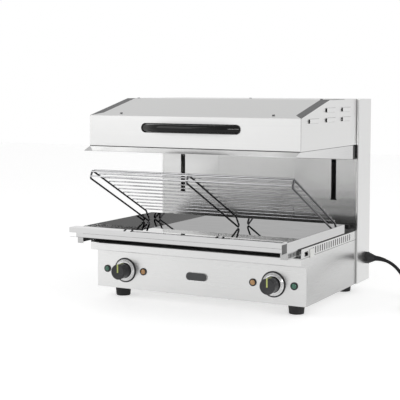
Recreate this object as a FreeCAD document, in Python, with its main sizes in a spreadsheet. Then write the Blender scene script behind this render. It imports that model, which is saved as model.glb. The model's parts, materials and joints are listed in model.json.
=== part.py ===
import FreeCAD, Part

import math
import os
import re

import Sketcher
from FreeCAD import Placement, Rotation, Vector

# Counter-top salamander grill with a lift-top hood, in millimetres.
# Origin: centre of the footprint on the counter, with the tray pulled forward and the hood up.
# X runs to the right, Y to the back, Z up. The front faces -Y.

# Driving sizes
SIZES = {
    # whole machine
    "column_width": 600,
    "column_depth": 96,
    "column_height": 493,
    "base_step": 4.5,
    "base_depth": 380,
    "base_height": 120,
    "foot_height": 28.5,
    "sheet": 1,
    "hole_play": 0.2,
    # front fascia
    "panel_setback": 32.5,
    "panel_height": 95,
    "slope_rise": 7,
    "fascia_return": 15,
    "bend_radius": 0.8,
    # slotted rails on the side panels
    "rail_height": 23,
    "rail_flange": 26,
    "slit_count": 18,
    "slit_first": 73,
    "slit_pitch": 15,
    "slit_width": 5,
    "slit_height": 16,
    "window_rise": 3.5,
    "window_start": 20,
    "window_length": 23,
    "window_height": 11,
    "glide_start": 52,
    "glide_length": 23,
    "glide_height": 21,
    "glide_face": 2.5,
    "glide_neck": 8,
    "glide_sink": 4.5,
    "track_overlap": 2,
    "slide_gap": 0.1,
    # vents in the bottom and the rear cover
    "vent_first": 180,
    "vent_pitch": 24,
    "vent_reach": 30,
    "vent_length": 60,
    "vent_width": 6,
    # feet
    "foot_radius": 21.5,
    "foot_tip_radius": 18.5,
    "foot_inset": 46.5,
    "foot_front": 85,
    "foot_tail": 61,
    "foot_bolt_radius": 3,
    "foot_edge": 1.5,
    "foot_bolt_head": 6,
    "foot_bolt_head_height": 4,
    "foot_nut_height": 5,
    "foot_socket_radius": 8,
    "foot_socket_depth": 14,
    # controls
    "control_height": 48.5,
    "knob_inset": 85.5,
    "knob_radius": 19.8,
    "knob_neck_radius": 18.6,
    "knob_length": 36,
    "knob_edge": 1.5,
    "knob_gap": 0.5,
    "dial_radius": 32,
    "dial_thickness": 2.5,
    "ring_radius": 28.5,
    "ring_inner_radius": 19.8,
    "ring_thickness": 3.5,
    "ring_bevel": 6,
    "shaft_radius": 3,
    "shaft_clearance": 0.05,
    "shaft_grip": 16,
    "shaft_depth": 8,
    "regulator_side": 45,
    "regulator_depth": 36,
    "bushing_radius": 5,
    "bushing_gap": 0.5,
    "blade_reach": 12,
    "blade_width": 6.3,
    "blade_length": 8,
    "blade_thickness": 0.8,
    "pointer_width": 3.8,
    "pointer_length": 21.5,
    "pointer_rise": 0.6,
    "pointer_fold": 30,
    "lamp_spacing": 54.5,
    "lamp_bezel_radius": 9.4,
    "lamp_bezel_thickness": 2.5,
    "lamp_lens_radius": 6.6,
    "lamp_lens_rise": 2,
    "lamp_body_radius": 7.5,
    "lamp_body_length": 28,
    "badge_length": 61,
    "badge_height": 21.7,
    "badge_thickness": 1.5,
    # drip tray and its carriers
    "lip_reach": 104.5,
    "lip_depth": 30.5,
    "lip_height": 13,
    "lip_return": 9,
    "tray_step": 5,
    "tray_length": 378,
    "tray_height": 24,
    "tray_front_height": 28,
    "tray_sheet": 1.2,
    "tray_clearance": 0.5,
    "carrier_inset": 2,
    "carrier_setback": 4,
    "carrier_drop": 16,
    "carrier_flange": 16.5,
    "carrier_length": 330,
    "carrier_slit_count": 36,
    "carrier_slit_pitch": 8.6,
    "carrier_slit_width": 5.4,
    "carrier_slit_first": 10,
    "carrier_slit_rise": 3,
    "buffer_inset": 19.5,
    "buffer_side": 11,
    "buffer_length": 6,
    "buffer_rise": 3.5,
    # wire rack
    "rack_length": 327,
    "rack_rise": 21,
    "rack_step": 8.3,
    "rack_tilt": 26,
    "runner_radius": 2.5,
    "runner_corner": 4,
    "leg_lean": 28,
    "cross_radius": 1.8,
    "cross_count": 12,
    "cross_inset": 3,
    "pivot_inset": 34,
    "rack_seat_gap": 0.3,
    # column
    "slot_inset": 69.5,
    "slot_width": 14,
    "slot_reserve": 15,
    "slot_margin": 9,
    "slot_foot_width": 18,
    "slot_foot_height": 3,
    "cover_inset": 2,
    "cover_margin": 12,
    "rod_radius": 8,
    "rod_clearance": 0.05,
    "rod_start": 35,
    "rod_headroom": 18,
    "bracket_width": 50,
    "bracket_thickness": 8,
    "carriage_width": 52,
    "carriage_drop": 20.5,
    "carriage_height": 90,
    "bush_wall": 2,
    "bush_length": 20,
    "collar_radius": 14,
    "collar_height": 10,
    "lift_travel": 148,
    "stop_gap": 0.3,
    "arm_thickness": 6,
    "arm_height": 50,
    "arm_rise": 12.5,
    "arm_flange_width": 44,
    "arm_flange_thickness": 4,
    # counterweights
    "rope_radius": 1.5,
    "pulley_pitch_radius": 30,
    "pulley_rim": 3,
    "pulley_width": 12,
    "pulley_inset": 80.5,
    "pulley_drop": 37.5,
    "spindle_radius": 4,
    "spindle_clearance": 0.05,
    "cheek_thickness": 3,
    "cheek_gap": 1,
    "weight_width": 90,
    "weight_depth": 60,
    "weight_height": 122,
    "weight_start": 20,
    "channel_gap": 1,
    "channel_wall": 1.5,
    "channel_headroom": 91,
    "eye_radius": 4,
    "eye_height": 6,
    "cheek_width": 20,
    "lug_height": 15,
    "lug_depth": 20,
    "lug_margin": 6,
    # hood
    "hood_step": 6.5,
    "hood_overhang": 5,
    "hood_gap": 2,
    "hood_drop": 120.5,
    "hood_front_height": 78,
    "hood_return": 34,
    "slope_run": 185,
    "strip_width": 24,
    "strip_mitre": 28,
    "strip_stop": 92,
    "lid_screw_inset": 80.5,
    "lid_screw_front": 25,
    "side_screw_inset": 27.5,
    "side_screw_back": 14,
    "top_screw_back": 34,
    "louvre_first": 45,
    "louvre_pitch": 111,
    "louvre_length": 79,
    "louvre_height": 11,
    "louvre_round": 1.8,
    "louvre_proud": 3.5,
    "louvre_wall": 0.8,
    "louvre_low": 70,
    "louvre_high": 94.5,
    "lip_forward": 27.5,
    "lip_fall": 12,
    "skirt_gap": 24,
    "skirt_fall": 38.5,
    "skirt_top": 20,
    "cap_thickness": 12,
    "cap_height": 35,
    "cap_gap": 8,
    "element_radius": 4.2,
    "element_height": 7,
    "element_bend": 30,
    "element_inset": 13.5,
    "element_inner": 12,
    "element_first": 60,
    "element_pitch": 150,
    "element_rise": 26,
    "element_turn": 10,
    "hanger_reach": 150,
    "hanger_width": 10,
    "hanger_thickness": 1.5,
    "hanger_margin": 12,
    "pad_thickness": 20,
    "pad_gap": 0.3,
    "pad_margin": 10,
    "terminal_length": 40,
    "terminal_depth": 40,
    "terminal_height": 18,
    "handle_length": 276,
    "handle_height": 24,
    "handle_thickness": 12,
    "grip_height": 20,
    "handle_projection": 38,
    "handle_leg_inset": 12,
    "shoulder_inset": 50,
    "shoulder_reach": 25,
    "handle_rise": 49,
    "rim_thickness": 2,
    "rim_width": 3,
    "screw_radius": 2,
    "screw_head_radius": 3.5,
    "screw_head_height": 1.6,
    "screw_length": 8,
    "tab_reach": 88,
    # mains cord
    "gland_inset": 28,
    "gland_height": 62,
    "gland_radius": 16,
    "gland_nut_length": 9,
    "gland_dome_length": 17,
    "gland_end_radius": 8,
    "gland_thread_radius": 10,
    "gland_thread_length": 9,
    "cord_radius": 4.5,
    "coil_radius": 49,
    "coil_pitch": 9.7,
    "relief_radius": 5.5,
    "relief_end_radius": 9,
    "relief_length": 34,
    "plug_radius": 19,
    "plug_length": 38,
    "pin_radius": 2.4,
    "pin_length": 19,
    "pin_reach": 9.5,
}

# Places that follow from the driving sizes
PLACES = {
    "half_column": "column_width / 2",
    "half_base": "half_column - base_step",
    "half_hood": "half_column - hood_step",
    "half_tray": "half_base - tray_step",
    "hood_width": "2 * half_hood",
    "knob_reach": "half_base - knob_inset",
    "lamp_inner_reach": "knob_reach - lamp_spacing",
    "lamp_outer_reach": "knob_reach + lamp_spacing",
    "foot_reach": "half_base - foot_inset",
    "slot_reach": "half_column - slot_inset",
    "pulley_reach": "slot_reach - pulley_inset",
    "buffer_reach": "half_tray - buffer_inset",
    "element_reach": "half_hood - element_inset",
    "rack_reach": "half_tray - tray_sheet - rack_step",
    "lid_screw_reach": "half_hood - lid_screw_inset",
    "side_screw_reach": "half_hood - side_screw_inset",
    "front_y": "(lip_reach - base_depth - column_depth) / 2",
    "panel_y": "front_y + panel_setback",
    "column_y": "front_y + base_depth",
    "back_y": "column_y + column_depth",
    "cover_y": "back_y - cover_inset - sheet",
    "base_z": "foot_height",
    "foot_top_z": "base_z + sheet",
    "floor_z": "base_z + 2 * sheet",
    "panel_z": "base_z + panel_height",
    "body_z": "base_z + base_height",
    "rail_z": "body_z + rail_height",
    "rail_middle_z": "(body_z + rail_z) / 2",
    "top_z": "base_z + column_height",
    "hood_z": "top_z - hood_drop",
    "carriage_z": "hood_z - carriage_drop",
    "arm_z": "hood_z + arm_rise",
    "slot_low_z": "arm_z - lift_travel - slot_reserve",
    "slot_high_z": "arm_z + arm_height + slot_margin",
    "control_z": "base_z + control_height",
    "knob_back_y": "panel_y - dial_thickness - knob_gap",
    "tray_z": "rail_z + tray_clearance",
    "tray_y": "front_y - lip_reach + lip_depth",
    "carrier_x": "half_tray - carrier_inset",
    "carrier_z": "tray_z - carrier_drop",
    "carrier_y": "tray_y + carrier_setback",
    "pivot_y": "tray_y + tray_length - pivot_inset",
    "pivot_z": "tray_z + tray_sheet + rack_seat_gap + runner_radius + runner_corner",
    "rack_run": "rack_length - 2 * runner_corner",
    "rack_climb": "rack_rise - 2 * runner_corner",
    "leg_run": "rack_climb / tan(leg_lean)",
    "rod_y": "column_y + column_depth / 2",
    "rod_z": "base_z + rod_start",
    "rod_length": "top_z - rod_headroom - rod_z",
    "channel_height": "top_z - floor_z - channel_headroom",
    "pulley_z": "top_z - pulley_drop",
    "weight_z": "base_z + weight_start",
    "lug_z": "carriage_z + carriage_height - 2 * lug_height",
    "bush_radius": "rod_radius + bush_wall",
    "rope_x": "pulley_reach + pulley_pitch_radius",
    "weight_x": "pulley_reach - pulley_pitch_radius",
    "hood_front_y": "front_y - hood_overhang",
    "hood_back_y": "column_y - hood_gap",
    "top_screw_y": "hood_back_y - top_screw_back",
    "strip_end_y": "hood_back_y - strip_stop",
    "hood_edge_z": "hood_z + hood_front_height",
    "slope_end_y": "hood_front_y + slope_run",
    "lid_slope": "(top_z - hood_edge_z) / slope_run",
    "ceiling_z": "hood_z + skirt_top",
    "skirt_back_y": "column_y - skirt_gap",
    "skirt_back_z": "hood_z - skirt_fall",
    "skirt_lip_y": "hood_front_y - lip_forward",
    "skirt_lip_z": "hood_z - lip_fall",
    "element_z": "hood_z + element_height",
    "handle_z": "hood_z + handle_rise",
    "handle_foot_x": "handle_length / 2 - handle_leg_inset",
    "handle_screw_x": "handle_foot_x - handle_thickness / 2",
    "gland_y": "back_y - gland_inset",
    "gland_z": "base_z + gland_height",
}

doc = FreeCAD.newDocument("SalamanderGrill")
sheet = doc.addObject("Spreadsheet::Sheet", "Sizes")
for row, (alias, value) in enumerate(SIZES.items(), 1):
    sheet.set(f"A{row}", alias)
    sheet.set(f"B{row}", str(value))
    sheet.setAlias(f"B{row}", alias)
doc.recompute()


def tied(expression):
    """Writes the sheet's name before every size that an expression names."""

    def full_name(word):
        if word[0] in SIZES:
            return "Sizes." + word[0]
        return "Places." + word[0] if word[0] in PLACES else word[0]

    return re.sub(r"[a-z_]\w*", full_name, str(expression))


places = doc.addObject("Spreadsheet::Sheet", "Places")
for row, (alias, formula) in enumerate(PLACES.items(), 1):
    places.set(f"A{row}", alias)
    places.set(f"B{row}", "=" + tied(formula).replace("Places.", ""))
    places.setAlias(f"B{row}", alias)
    doc.recompute()


def value(expression):
    """The present value of an expression, in millimetres or degrees."""
    result = places.evalExpression(tied(expression))
    return float(getattr(result, "Value", result))


parts = []


def part(solid, label):
    """Registers a finished sub-part under its own label."""
    solid.Label = label
    parts.append(solid)
    return solid


def put(solid, x="0", y="0", z="0"):
    """Ties an object's position to three expressions."""
    for axis, expression in zip("xyz", (x, y, z)):
        solid.setExpression(f"Placement.Base.{axis}", tied(expression))
    return solid


def box(low, size):
    """A box from its low corner, every length an expression."""
    solid = doc.addObject("Part::Box", "Block")
    for name, expression in zip(("Length", "Width", "Height"), size):
        solid.setExpression(name, tied(expression))
    return put(solid, *low)


def wide_box(half_width, low_y, low_z, depth, height):
    """A box centred on the machine's middle plane."""
    return box((f"-({half_width})", low_y, low_z), (f"2 * ({half_width})", depth, height))


ALONG = {
    "x": Rotation(Vector(0, 1, 0), 90),
    "y": Rotation(Vector(1, 0, 0), -90),
    "z": Rotation(),
    "-x": Rotation(Vector(0, 1, 0), -90),
    "-y": Rotation(Vector(1, 0, 0), 90),
    "-z": Rotation(Vector(1, 0, 0), 180),
}


def rod(along, start, radius, length):
    """A round bar that starts at a point and runs along one axis."""
    solid = doc.addObject("Part::Cylinder", "Bar")
    solid.setExpression("Radius", tied(radius))
    solid.setExpression("Height", tied(length))
    solid.Placement.Rotation = ALONG[along]
    return put(solid, *start)


def cone(along, start, first_radius, last_radius, length):
    """A round bar whose radius changes evenly along one axis."""
    solid = doc.addObject("Part::Cone", "Taper")
    solid.setExpression("Radius1", tied(first_radius))
    solid.setExpression("Radius2", tied(last_radius))
    solid.setExpression("Height", tied(length))
    solid.Placement.Rotation = ALONG[along]
    return put(solid, *start)


def hexagon(along, start, radius, length):
    """A six-sided bar that starts at a point and runs along one axis."""
    solid = doc.addObject("Part::Prism", "Hexagon")
    solid.Polygon = 6
    solid.setExpression("Circumradius", tied(radius))
    solid.setExpression("Height", tied(length))
    solid.Placement.Rotation = ALONG[along]
    return put(solid, *start)


def fuse(*pieces):
    """Joins touching pieces into one solid."""
    if len(pieces) == 1:
        return pieces[0]
    solid = doc.addObject("Part::MultiFuse", "Joined")
    solid.Shapes = list(pieces)
    solid.Refine = True
    return solid


def cut(blank, *tools):
    """Takes tools away from a blank."""
    solid = doc.addObject("Part::Cut", "Cut")
    solid.Base = blank
    solid.Tool = tools[0] if len(tools) == 1 else group(*tools)
    return solid


def overlap(first, second):
    """What two pieces share."""
    solid = doc.addObject("Part::Common", "Shared")
    solid.Base = first
    solid.Tool = second
    return solid


def group(*pieces):
    """Keeps like pieces together as separate solids."""
    if len(pieces) == 1:
        return pieces[0]
    solid = doc.addObject("Part::Compound", "Group")
    solid.Links = list(pieces)
    return solid


def mirrored(source):
    """The same piece on the other side of the machine."""
    solid = doc.addObject("Part::Mirroring", "Mirrored")
    solid.Source = source
    solid.Normal = Vector(1, 0, 0)
    return solid


def pair(source):
    """A right-hand piece and its left-hand twin in one group."""
    return group(source, mirrored(source))


# PartDesign helpers
PLANE = {"x": "YZ_Plane", "y": "XZ_Plane", "z": "XY_Plane"}


def new_body():
    return doc.addObject("PartDesign::Body", "Body")


def new_sketch(body, normal, offset="0"):
    """A sketch on the body's plane across one axis, moved along its normal by an offset."""
    sketch = body.newObject("Sketcher::SketchObject", "Sketch")
    plane = [item for item in body.Origin.OriginFeatures if item.Role == PLANE[normal]][0]
    sketch.AttachmentSupport = [(plane, "")]
    sketch.MapMode = "FlatFace"
    sign = "-" if normal == "y" else ""
    sketch.setExpression("AttachmentOffset.Base.z", tied(f"{sign}({offset})"))
    return sketch


def fix(sketch, geometry, position, corner):
    """Holds one point of a sketch at a place given by two expressions."""
    for kind, expression in zip(("DistanceX", "DistanceY"), corner):
        number = sketch.addConstraint(
            Sketcher.Constraint(kind, -1, 1, geometry, position, value(expression))
        )
        sketch.setExpression(f"Constraints[{number}]", tied(expression))


def outline(sketch, corners):
    """A closed outline of straight lines, every corner tied to expressions."""
    first = len(sketch.Geometry)
    points = [Vector(value(across), value(up), 0) for across, up in corners]
    following = points[1:] + points[:1]
    for start, end in zip(points, following):
        sketch.addGeometry(Part.LineSegment(start, end))
    for index, corner in enumerate(corners):
        before = first + (index - 1) % len(corners)
        sketch.addConstraint(Sketcher.Constraint("Coincident", before, 2, first + index, 1))
        fix(sketch, first + index, 1, corner)


def rectangle(sketch, low, width, height):
    across, up = low
    outline(sketch, [
        (across, up),
        (f"{across} + {width}", up),
        (f"{across} + {width}", f"{up} + {height}"),
        (across, f"{up} + {height}"),
    ])


def circle(sketch, centre, radius):
    """A circle whose centre and radius are tied to expressions."""
    middle = Vector(value(centre[0]), value(centre[1]), 0)
    number = sketch.addGeometry(Part.Circle(middle, Vector(0, 0, 1), value(radius)))
    fix(sketch, number, 3, centre)
    constraint = sketch.addConstraint(Sketcher.Constraint("Radius", number, value(radius)))
    sketch.setExpression(f"Constraints[{constraint}]", tied(radius))


def pad(body, sketch, length, midplane=False, reverse=False):
    feature = body.newObject("PartDesign::Pad", "Pad")
    feature.Profile = sketch
    feature.setExpression("Length", tied(length))
    feature.Midplane = midplane
    feature.Reversed = reverse
    sketch.Visibility = False
    return feature


def pocket(body, sketch, length, reverse=False, midplane=False):
    feature = body.newObject("PartDesign::Pocket", "Pocket")
    feature.Profile = sketch
    feature.setExpression("Length", tied(length))
    feature.Reversed = reverse
    feature.Midplane = midplane
    sketch.Visibility = False
    return feature


def turned(body, sketch):
    """A full turn of a sketch about its own upright axis."""
    feature = body.newObject("PartDesign::Revolution", "Revolution")
    feature.Profile = sketch
    feature.ReferenceAxis = (sketch, ["V_Axis"])
    feature.Angle = 360
    return feature


def rounded(body, feature, radius, wanted):
    """Rounds those edges of a feature that a test picks by their middle point."""
    doc.recompute()
    names = []
    for number, edge in enumerate(feature.Shape.Edges, 1):
        if wanted(edge, edge.CenterOfMass):
            names.append(f"Edge{number}")
    fillet = body.newObject("PartDesign::Fillet", "Fillet")
    fillet.Base = (feature, names)
    fillet.setExpression("Radius", tied(radius))
    return fillet


def near(first, second, tolerance=0.01):
    return abs(first - second) < tolerance


# Front fascia: control panel, sloped return and upper band folded from one sheet
def front_fascia():
    body = new_body()
    profile = new_sketch(body, "x")
    outline(profile, [
        ("panel_y", "base_z"),
        ("panel_y", "panel_z"),
        ("front_y", "panel_z + slope_rise"),
        ("front_y", "body_z"),
        ("front_y + fascia_return", "body_z"),
        ("front_y + fascia_return", "body_z - sheet"),
        ("front_y + sheet", "body_z - sheet"),
        ("front_y + sheet", "panel_z + slope_rise + sheet"),
        ("panel_y + sheet", "panel_z + sheet"),
        ("panel_y + sheet", "base_z + sheet"),
        ("panel_y + fascia_return", "base_z + sheet"),
        ("panel_y + fascia_return", "base_z"),
    ])
    folded = pad(body, profile, "2 * half_base", midplane=True)
    front, panel = value("front_y"), value("panel_y")
    low, slope, high = value("base_z"), value("panel_z + slope_rise"), value("body_z")
    bends = ((panel, low), (front, slope), (front, high))
    rounded(body, folded, "bend_radius", lambda edge, middle: any(
        near(middle.y, y) and near(middle.z, z) and edge.Length > 50 for y, z in bends
    ))
    holes = new_sketch(body, "y", "panel_y")
    for side in ("", "-"):
        circle(holes, (f"{side}knob_reach", "control_z"), "bushing_radius + hole_play")
        circle(holes, (f"{side}lamp_inner_reach", "control_z"), "lamp_body_radius + hole_play")
        circle(holes, (f"{side}lamp_outer_reach", "control_z"), "lamp_body_radius + hole_play")
    pocket(body, holes, "4 * sheet")
    part(body, "front_fascia")


# Side panels of the base, stepped in below the band
def side_panels():
    body = new_body()
    profile = new_sketch(body, "x", "half_base - sheet")
    outline(profile, [
        ("panel_y + fascia_return", "base_z"),
        ("panel_y + fascia_return", "base_z + sheet"),
        ("panel_y + sheet", "base_z + sheet"),
        ("panel_y + sheet", "panel_z + sheet"),
        ("front_y + sheet", "panel_z + slope_rise + sheet"),
        ("front_y + sheet", "body_z - sheet"),
        ("front_y + fascia_return", "body_z - sheet"),
        ("front_y + fascia_return", "body_z"),
        ("column_y", "body_z"),
        ("column_y", "base_z"),
    ])
    pad(body, profile, "sheet")
    part(pair(body), "side_panels")


# Slotted rails: an upright wall with a row of slits, a flange under the deck's edge
# and a raised track that the tray's carrier slides on
def slotted_rails():
    body = new_body()
    profile = new_sketch(body, "y", "front_y")
    outline(profile, [
        ("half_base - rail_flange", "body_z"),
        ("half_base", "body_z"),
        ("half_base", "rail_z"),
        ("half_base - sheet", "rail_z"),
        ("half_base - sheet", "body_z + sheet"),
        ("carrier_x + track_overlap", "body_z + sheet"),
        ("carrier_x + track_overlap", "carrier_z - slide_gap"),
        ("carrier_x - tray_sheet - track_overlap", "carrier_z - slide_gap"),
        ("carrier_x - tray_sheet - track_overlap", "body_z + sheet"),
        ("half_base - rail_flange", "body_z + sheet"),
    ])
    pad(body, profile, "base_depth", reverse=True)
    windows = new_sketch(body, "x", "half_base")
    window_low = "body_z + window_rise"
    rectangle(windows, ("front_y + window_start", window_low), "window_length", "window_height")
    neck_start = "front_y + glide_start + (glide_length - glide_neck) / 2"
    rectangle(windows, (neck_start, "rail_middle_z - glide_neck / 4"), "glide_neck", "glide_neck / 2")
    pocket(body, windows, "4 * sheet", midplane=True)
    slit = new_sketch(body, "x", "half_base")
    slit_low = "rail_middle_z - slit_height / 2"
    rectangle(slit, ("front_y + slit_first", slit_low), "slit_width", "slit_height")
    first_slit = pocket(body, slit, "4 * sheet", midplane=True)
    pattern = body.newObject("PartDesign::LinearPattern", "Slits")
    pattern.Originals = [first_slit]
    pattern.Direction = (slit, ["H_Axis"])
    pattern.setExpression("Length", tied("(slit_count - 1) * slit_pitch"))
    pattern.setExpression("Occurrences", tied("slit_count"))
    body.Tip = pattern
    part(pair(body), "slotted_rails")


# Bottom plate under the base and the column, with vents and holes for the feet
def bottom_plate():
    low = "base_z + sheet"
    under_base = wide_box("half_base - sheet", "panel_y + sheet", low, "column_y - panel_y - sheet", "sheet")
    under_column = wide_box("half_column - sheet", "column_y", low, "column_depth", "sheet")
    tools = []
    for x, y in foot_places():
        tools.append(rod("z", (x, y, "base_z"), "foot_bolt_radius + hole_play", "4 * sheet"))
    for index in range(5):
        start = f"front_y + vent_first + {index} * vent_pitch"
        for x in ("-vent_reach - vent_length", "vent_reach"):
            tools.append(box((x, start, "base_z"), ("vent_length", "vent_width", "4 * sheet")))
    part(cut(fuse(under_base, under_column), *tools), "bottom_plate")


# Deck between the tray and the electrical space
def base_deck():
    half_width = "half_base - rail_flange"
    deck = wide_box(half_width, "front_y + sheet", "body_z", "base_depth - sheet", "sheet")
    part(deck, "base_deck")


# White glide blocks, pushed through the rails, that steady the carriers sideways
def tray_glides():
    start = "front_y + glide_start"
    face = box(("half_base", start, "rail_middle_z - glide_height / 2 - glide_sink"),
               ("glide_face", "glide_length", "glide_height"))
    neck = box(("half_base - sheet", f"{start} + (glide_length - glide_neck) / 2",
                "rail_middle_z - glide_neck / 4"), ("sheet", "glide_neck", "glide_neck / 2"))
    shoe = box(("carrier_x + slide_gap", start, "rail_middle_z - glide_neck / 2"),
               ("half_base - sheet - carrier_x - slide_gap", "glide_length", "glide_neck"))
    part(pair(fuse(face, neck, shoe)), "tray_glides")


def foot_places():
    places_found = []
    for x in ("foot_reach", "-foot_reach"):
        for y in ("front_y + foot_front", "back_y - foot_tail"):
            places_found.append((x, y))
    return places_found


# Tapered rubber feet, each with a socket for its bolt head
def foot(x, y):
    body = new_body()
    profile = new_sketch(body, "y")
    outline(profile, [
        ("foot_socket_radius", "0"),
        ("foot_tip_radius", "0"),
        ("foot_radius", "foot_top_z"),
        ("foot_bolt_radius + hole_play", "foot_top_z"),
        ("foot_bolt_radius + hole_play", "foot_socket_depth"),
        ("foot_socket_radius", "foot_socket_depth"),
    ])
    solid = turned(body, profile)
    tip = value("foot_tip_radius")
    rounded(body, solid, "foot_edge", lambda edge, middle: near(middle.z, 0) and near(
        edge.BoundBox.XLength / 2, tip))
    return put(body, x, y)


def foot_bolt(x, y):
    head_z = "foot_socket_depth - foot_bolt_head_height"
    head = rod("z", (x, y, head_z), "foot_bolt_head", "foot_bolt_head_height")
    shank_length = "foot_top_z + sheet + foot_nut_height + 2 * foot_bolt_radius - foot_socket_depth"
    shank = rod("z", (x, y, "foot_socket_depth"), "foot_bolt_radius", shank_length)
    nut = hexagon("z", (x, y, "foot_top_z + sheet"), "foot_bolt_head", "foot_nut_height")
    return fuse(head, shank, nut)


def feet():
    part(group(*[foot(x, y) for x, y in foot_places()]), "feet")


# Badge: a plain pill-shaped plate
def badge_plate():
    end_x = "badge_length / 2 - badge_height / 2"
    face_y = "panel_y - badge_thickness"
    middle = wide_box(end_x, face_y, "control_z - badge_height / 2", "badge_thickness", "badge_height")
    ends = [rod("y", (x, face_y, "control_z"), "badge_height / 2", "badge_thickness")
            for x in (end_x, f"-({end_x})")]
    part(fuse(middle, *ends), "badge_plate")


# Dials: a dark base disc and a bright bevelled ring round each knob
def dials():
    disc_y = "panel_y - dial_thickness"
    disc = cut(rod("y", ("knob_reach", disc_y, "control_z"), "dial_radius", "dial_thickness"),
               rod("y", ("knob_reach", disc_y, "control_z"), "bushing_radius + hole_play", "dial_thickness"))
    part(pair(disc), "dial_bases")
    ring = cut(cone("-y", ("knob_reach", disc_y, "control_z"), "ring_radius", "ring_radius - ring_bevel",
                    "ring_thickness"),
               rod("-y", ("knob_reach", disc_y, "control_z"), "ring_inner_radius", "ring_thickness"))
    part(pair(ring), "dial_rings")


# Knobs with their pointer lines and the regulator shafts they sit on
def knob(reach):
    body = new_body()
    profile = new_sketch(body, "y")
    outline(profile, [
        ("shaft_radius", "0"),
        ("knob_neck_radius", "0"),
        ("knob_radius", "knob_length - knob_edge"),
        ("knob_radius - knob_edge", "knob_length"),
        ("0", "knob_length"),
        ("0", "shaft_grip"),
        ("shaft_radius", "shaft_grip"),
    ])
    turned(body, profile)
    body.Placement.Rotation = ALONG["-y"]
    return put(body, reach, "knob_back_y", "control_z")


def pointer(reach, turned_knob):
    left = f"{reach} - pointer_width / 2"
    face_y = "knob_back_y - knob_length - pointer_rise"
    line = box((left, face_y, "control_z + knob_radius - pointer_length"),
               ("pointer_width", "3 * pointer_rise", "pointer_length + pointer_rise"))
    fold = box((left, face_y, "control_z + knob_neck_radius"),
               ("pointer_width", "pointer_fold", "knob_radius - knob_neck_radius + pointer_rise"))
    return cut(fuse(line, fold), turned_knob)


def knobs():
    for side, reach in (("left", "-knob_reach"), ("right", "knob_reach")):
        part(group(knob(reach), pointer(reach, knob(reach))), f"knob_{side}")
        shaft_length = "shaft_grip + knob_gap + dial_thickness + sheet + shaft_depth"
        shaft = rod("y", (reach, "knob_back_y - shaft_grip", "control_z"), "shaft_radius", shaft_length)
        part(shaft, f"shaft_{side}")


# Energy regulators behind the panel, with a threaded bushing, a shaft bore and blade terminals
def regulators():
    side = "regulator_side"
    case = box((f"knob_reach - {side} / 2", "panel_y + sheet", f"control_z - {side} / 2"),
               (side, "regulator_depth", side))
    bushing = rod("-y", ("knob_reach", "panel_y + sheet", "control_z"), "bushing_radius",
                  "sheet + dial_thickness - bushing_gap")
    blades = []
    blade_y = "panel_y + sheet + regulator_depth"
    for column in (-1, 1):
        for row in (-1, 1):
            low_x = f"knob_reach + {column} * blade_reach - blade_width / 2"
            low_corner = (low_x, blade_y, f"control_z + {row} * blade_reach")
            blades.append(box(low_corner, ("blade_width", "blade_length", "blade_thickness")))
    bore = rod("y", ("knob_reach", "panel_y - dial_thickness", "control_z"),
               "shaft_radius + shaft_clearance", "dial_thickness + sheet + shaft_depth + shaft_clearance")
    part(pair(cut(fuse(case, bushing, *blades), bore)), "regulators")


# Lamps: bezel and holder in one, with a domed lens
def lamps():
    bodies = []
    for reach in ("lamp_inner_reach", "lamp_outer_reach"):
        bezel = rod("-y", (reach, "panel_y", "control_z"), "lamp_bezel_radius", "lamp_bezel_thickness")
        holder = rod("y", (reach, "panel_y", "control_z"), "lamp_body_radius", "lamp_body_length")
        seat = rod("-y", (reach, "panel_y", "control_z"), "lamp_lens_radius", "lamp_bezel_thickness")
        bodies.append(pair(cut(fuse(bezel, holder), seat)))
    part(group(*bodies), "lamp_bodies")
    for reach, name in (("lamp_inner_reach", "amber_lenses"), ("lamp_outer_reach", "green_lenses")):
        stem = rod("-y", (reach, "panel_y", "control_z"), "lamp_lens_radius", "lamp_bezel_thickness")
        dome = cone("-y", (reach, "panel_y - lamp_bezel_thickness", "control_z"), "lamp_lens_radius",
                    "lamp_lens_radius - lamp_lens_rise", "lamp_lens_rise")
        part(pair(fuse(stem, dome)), name)


# Drip tray: a shallow pan with a hollow folded lip along its front
def drip_tray():
    pan = cut(
        wide_box("half_tray", "tray_y", "tray_z", "tray_length", "tray_height"),
        wide_box("half_tray - tray_sheet", "tray_y + tray_sheet", "tray_z + tray_sheet",
                 "tray_length - 2 * tray_sheet", "tray_height"))
    lip_y = "tray_y - lip_depth"
    top_z = "tray_z + tray_front_height"
    front_wall = wide_box("half_tray", "tray_y", "tray_z", "tray_sheet", "tray_front_height")
    tube = wide_box("half_tray", lip_y, f"{top_z} - lip_height", "lip_depth", "lip_height")
    low_z = f"{top_z} - lip_height"
    hollow = wide_box("half_tray - tray_sheet", f"{lip_y} + tray_sheet", f"{low_z} + tray_sheet",
                      "lip_depth - tray_sheet", "lip_height - 2 * tray_sheet")
    mouth = wide_box("half_tray - tray_sheet", f"{lip_y} + lip_return", low_z,
                     "lip_depth - lip_return", "2 * tray_sheet")
    part(fuse(pan, front_wall, cut(tube, hollow, mouth)), "drip_tray")


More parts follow.
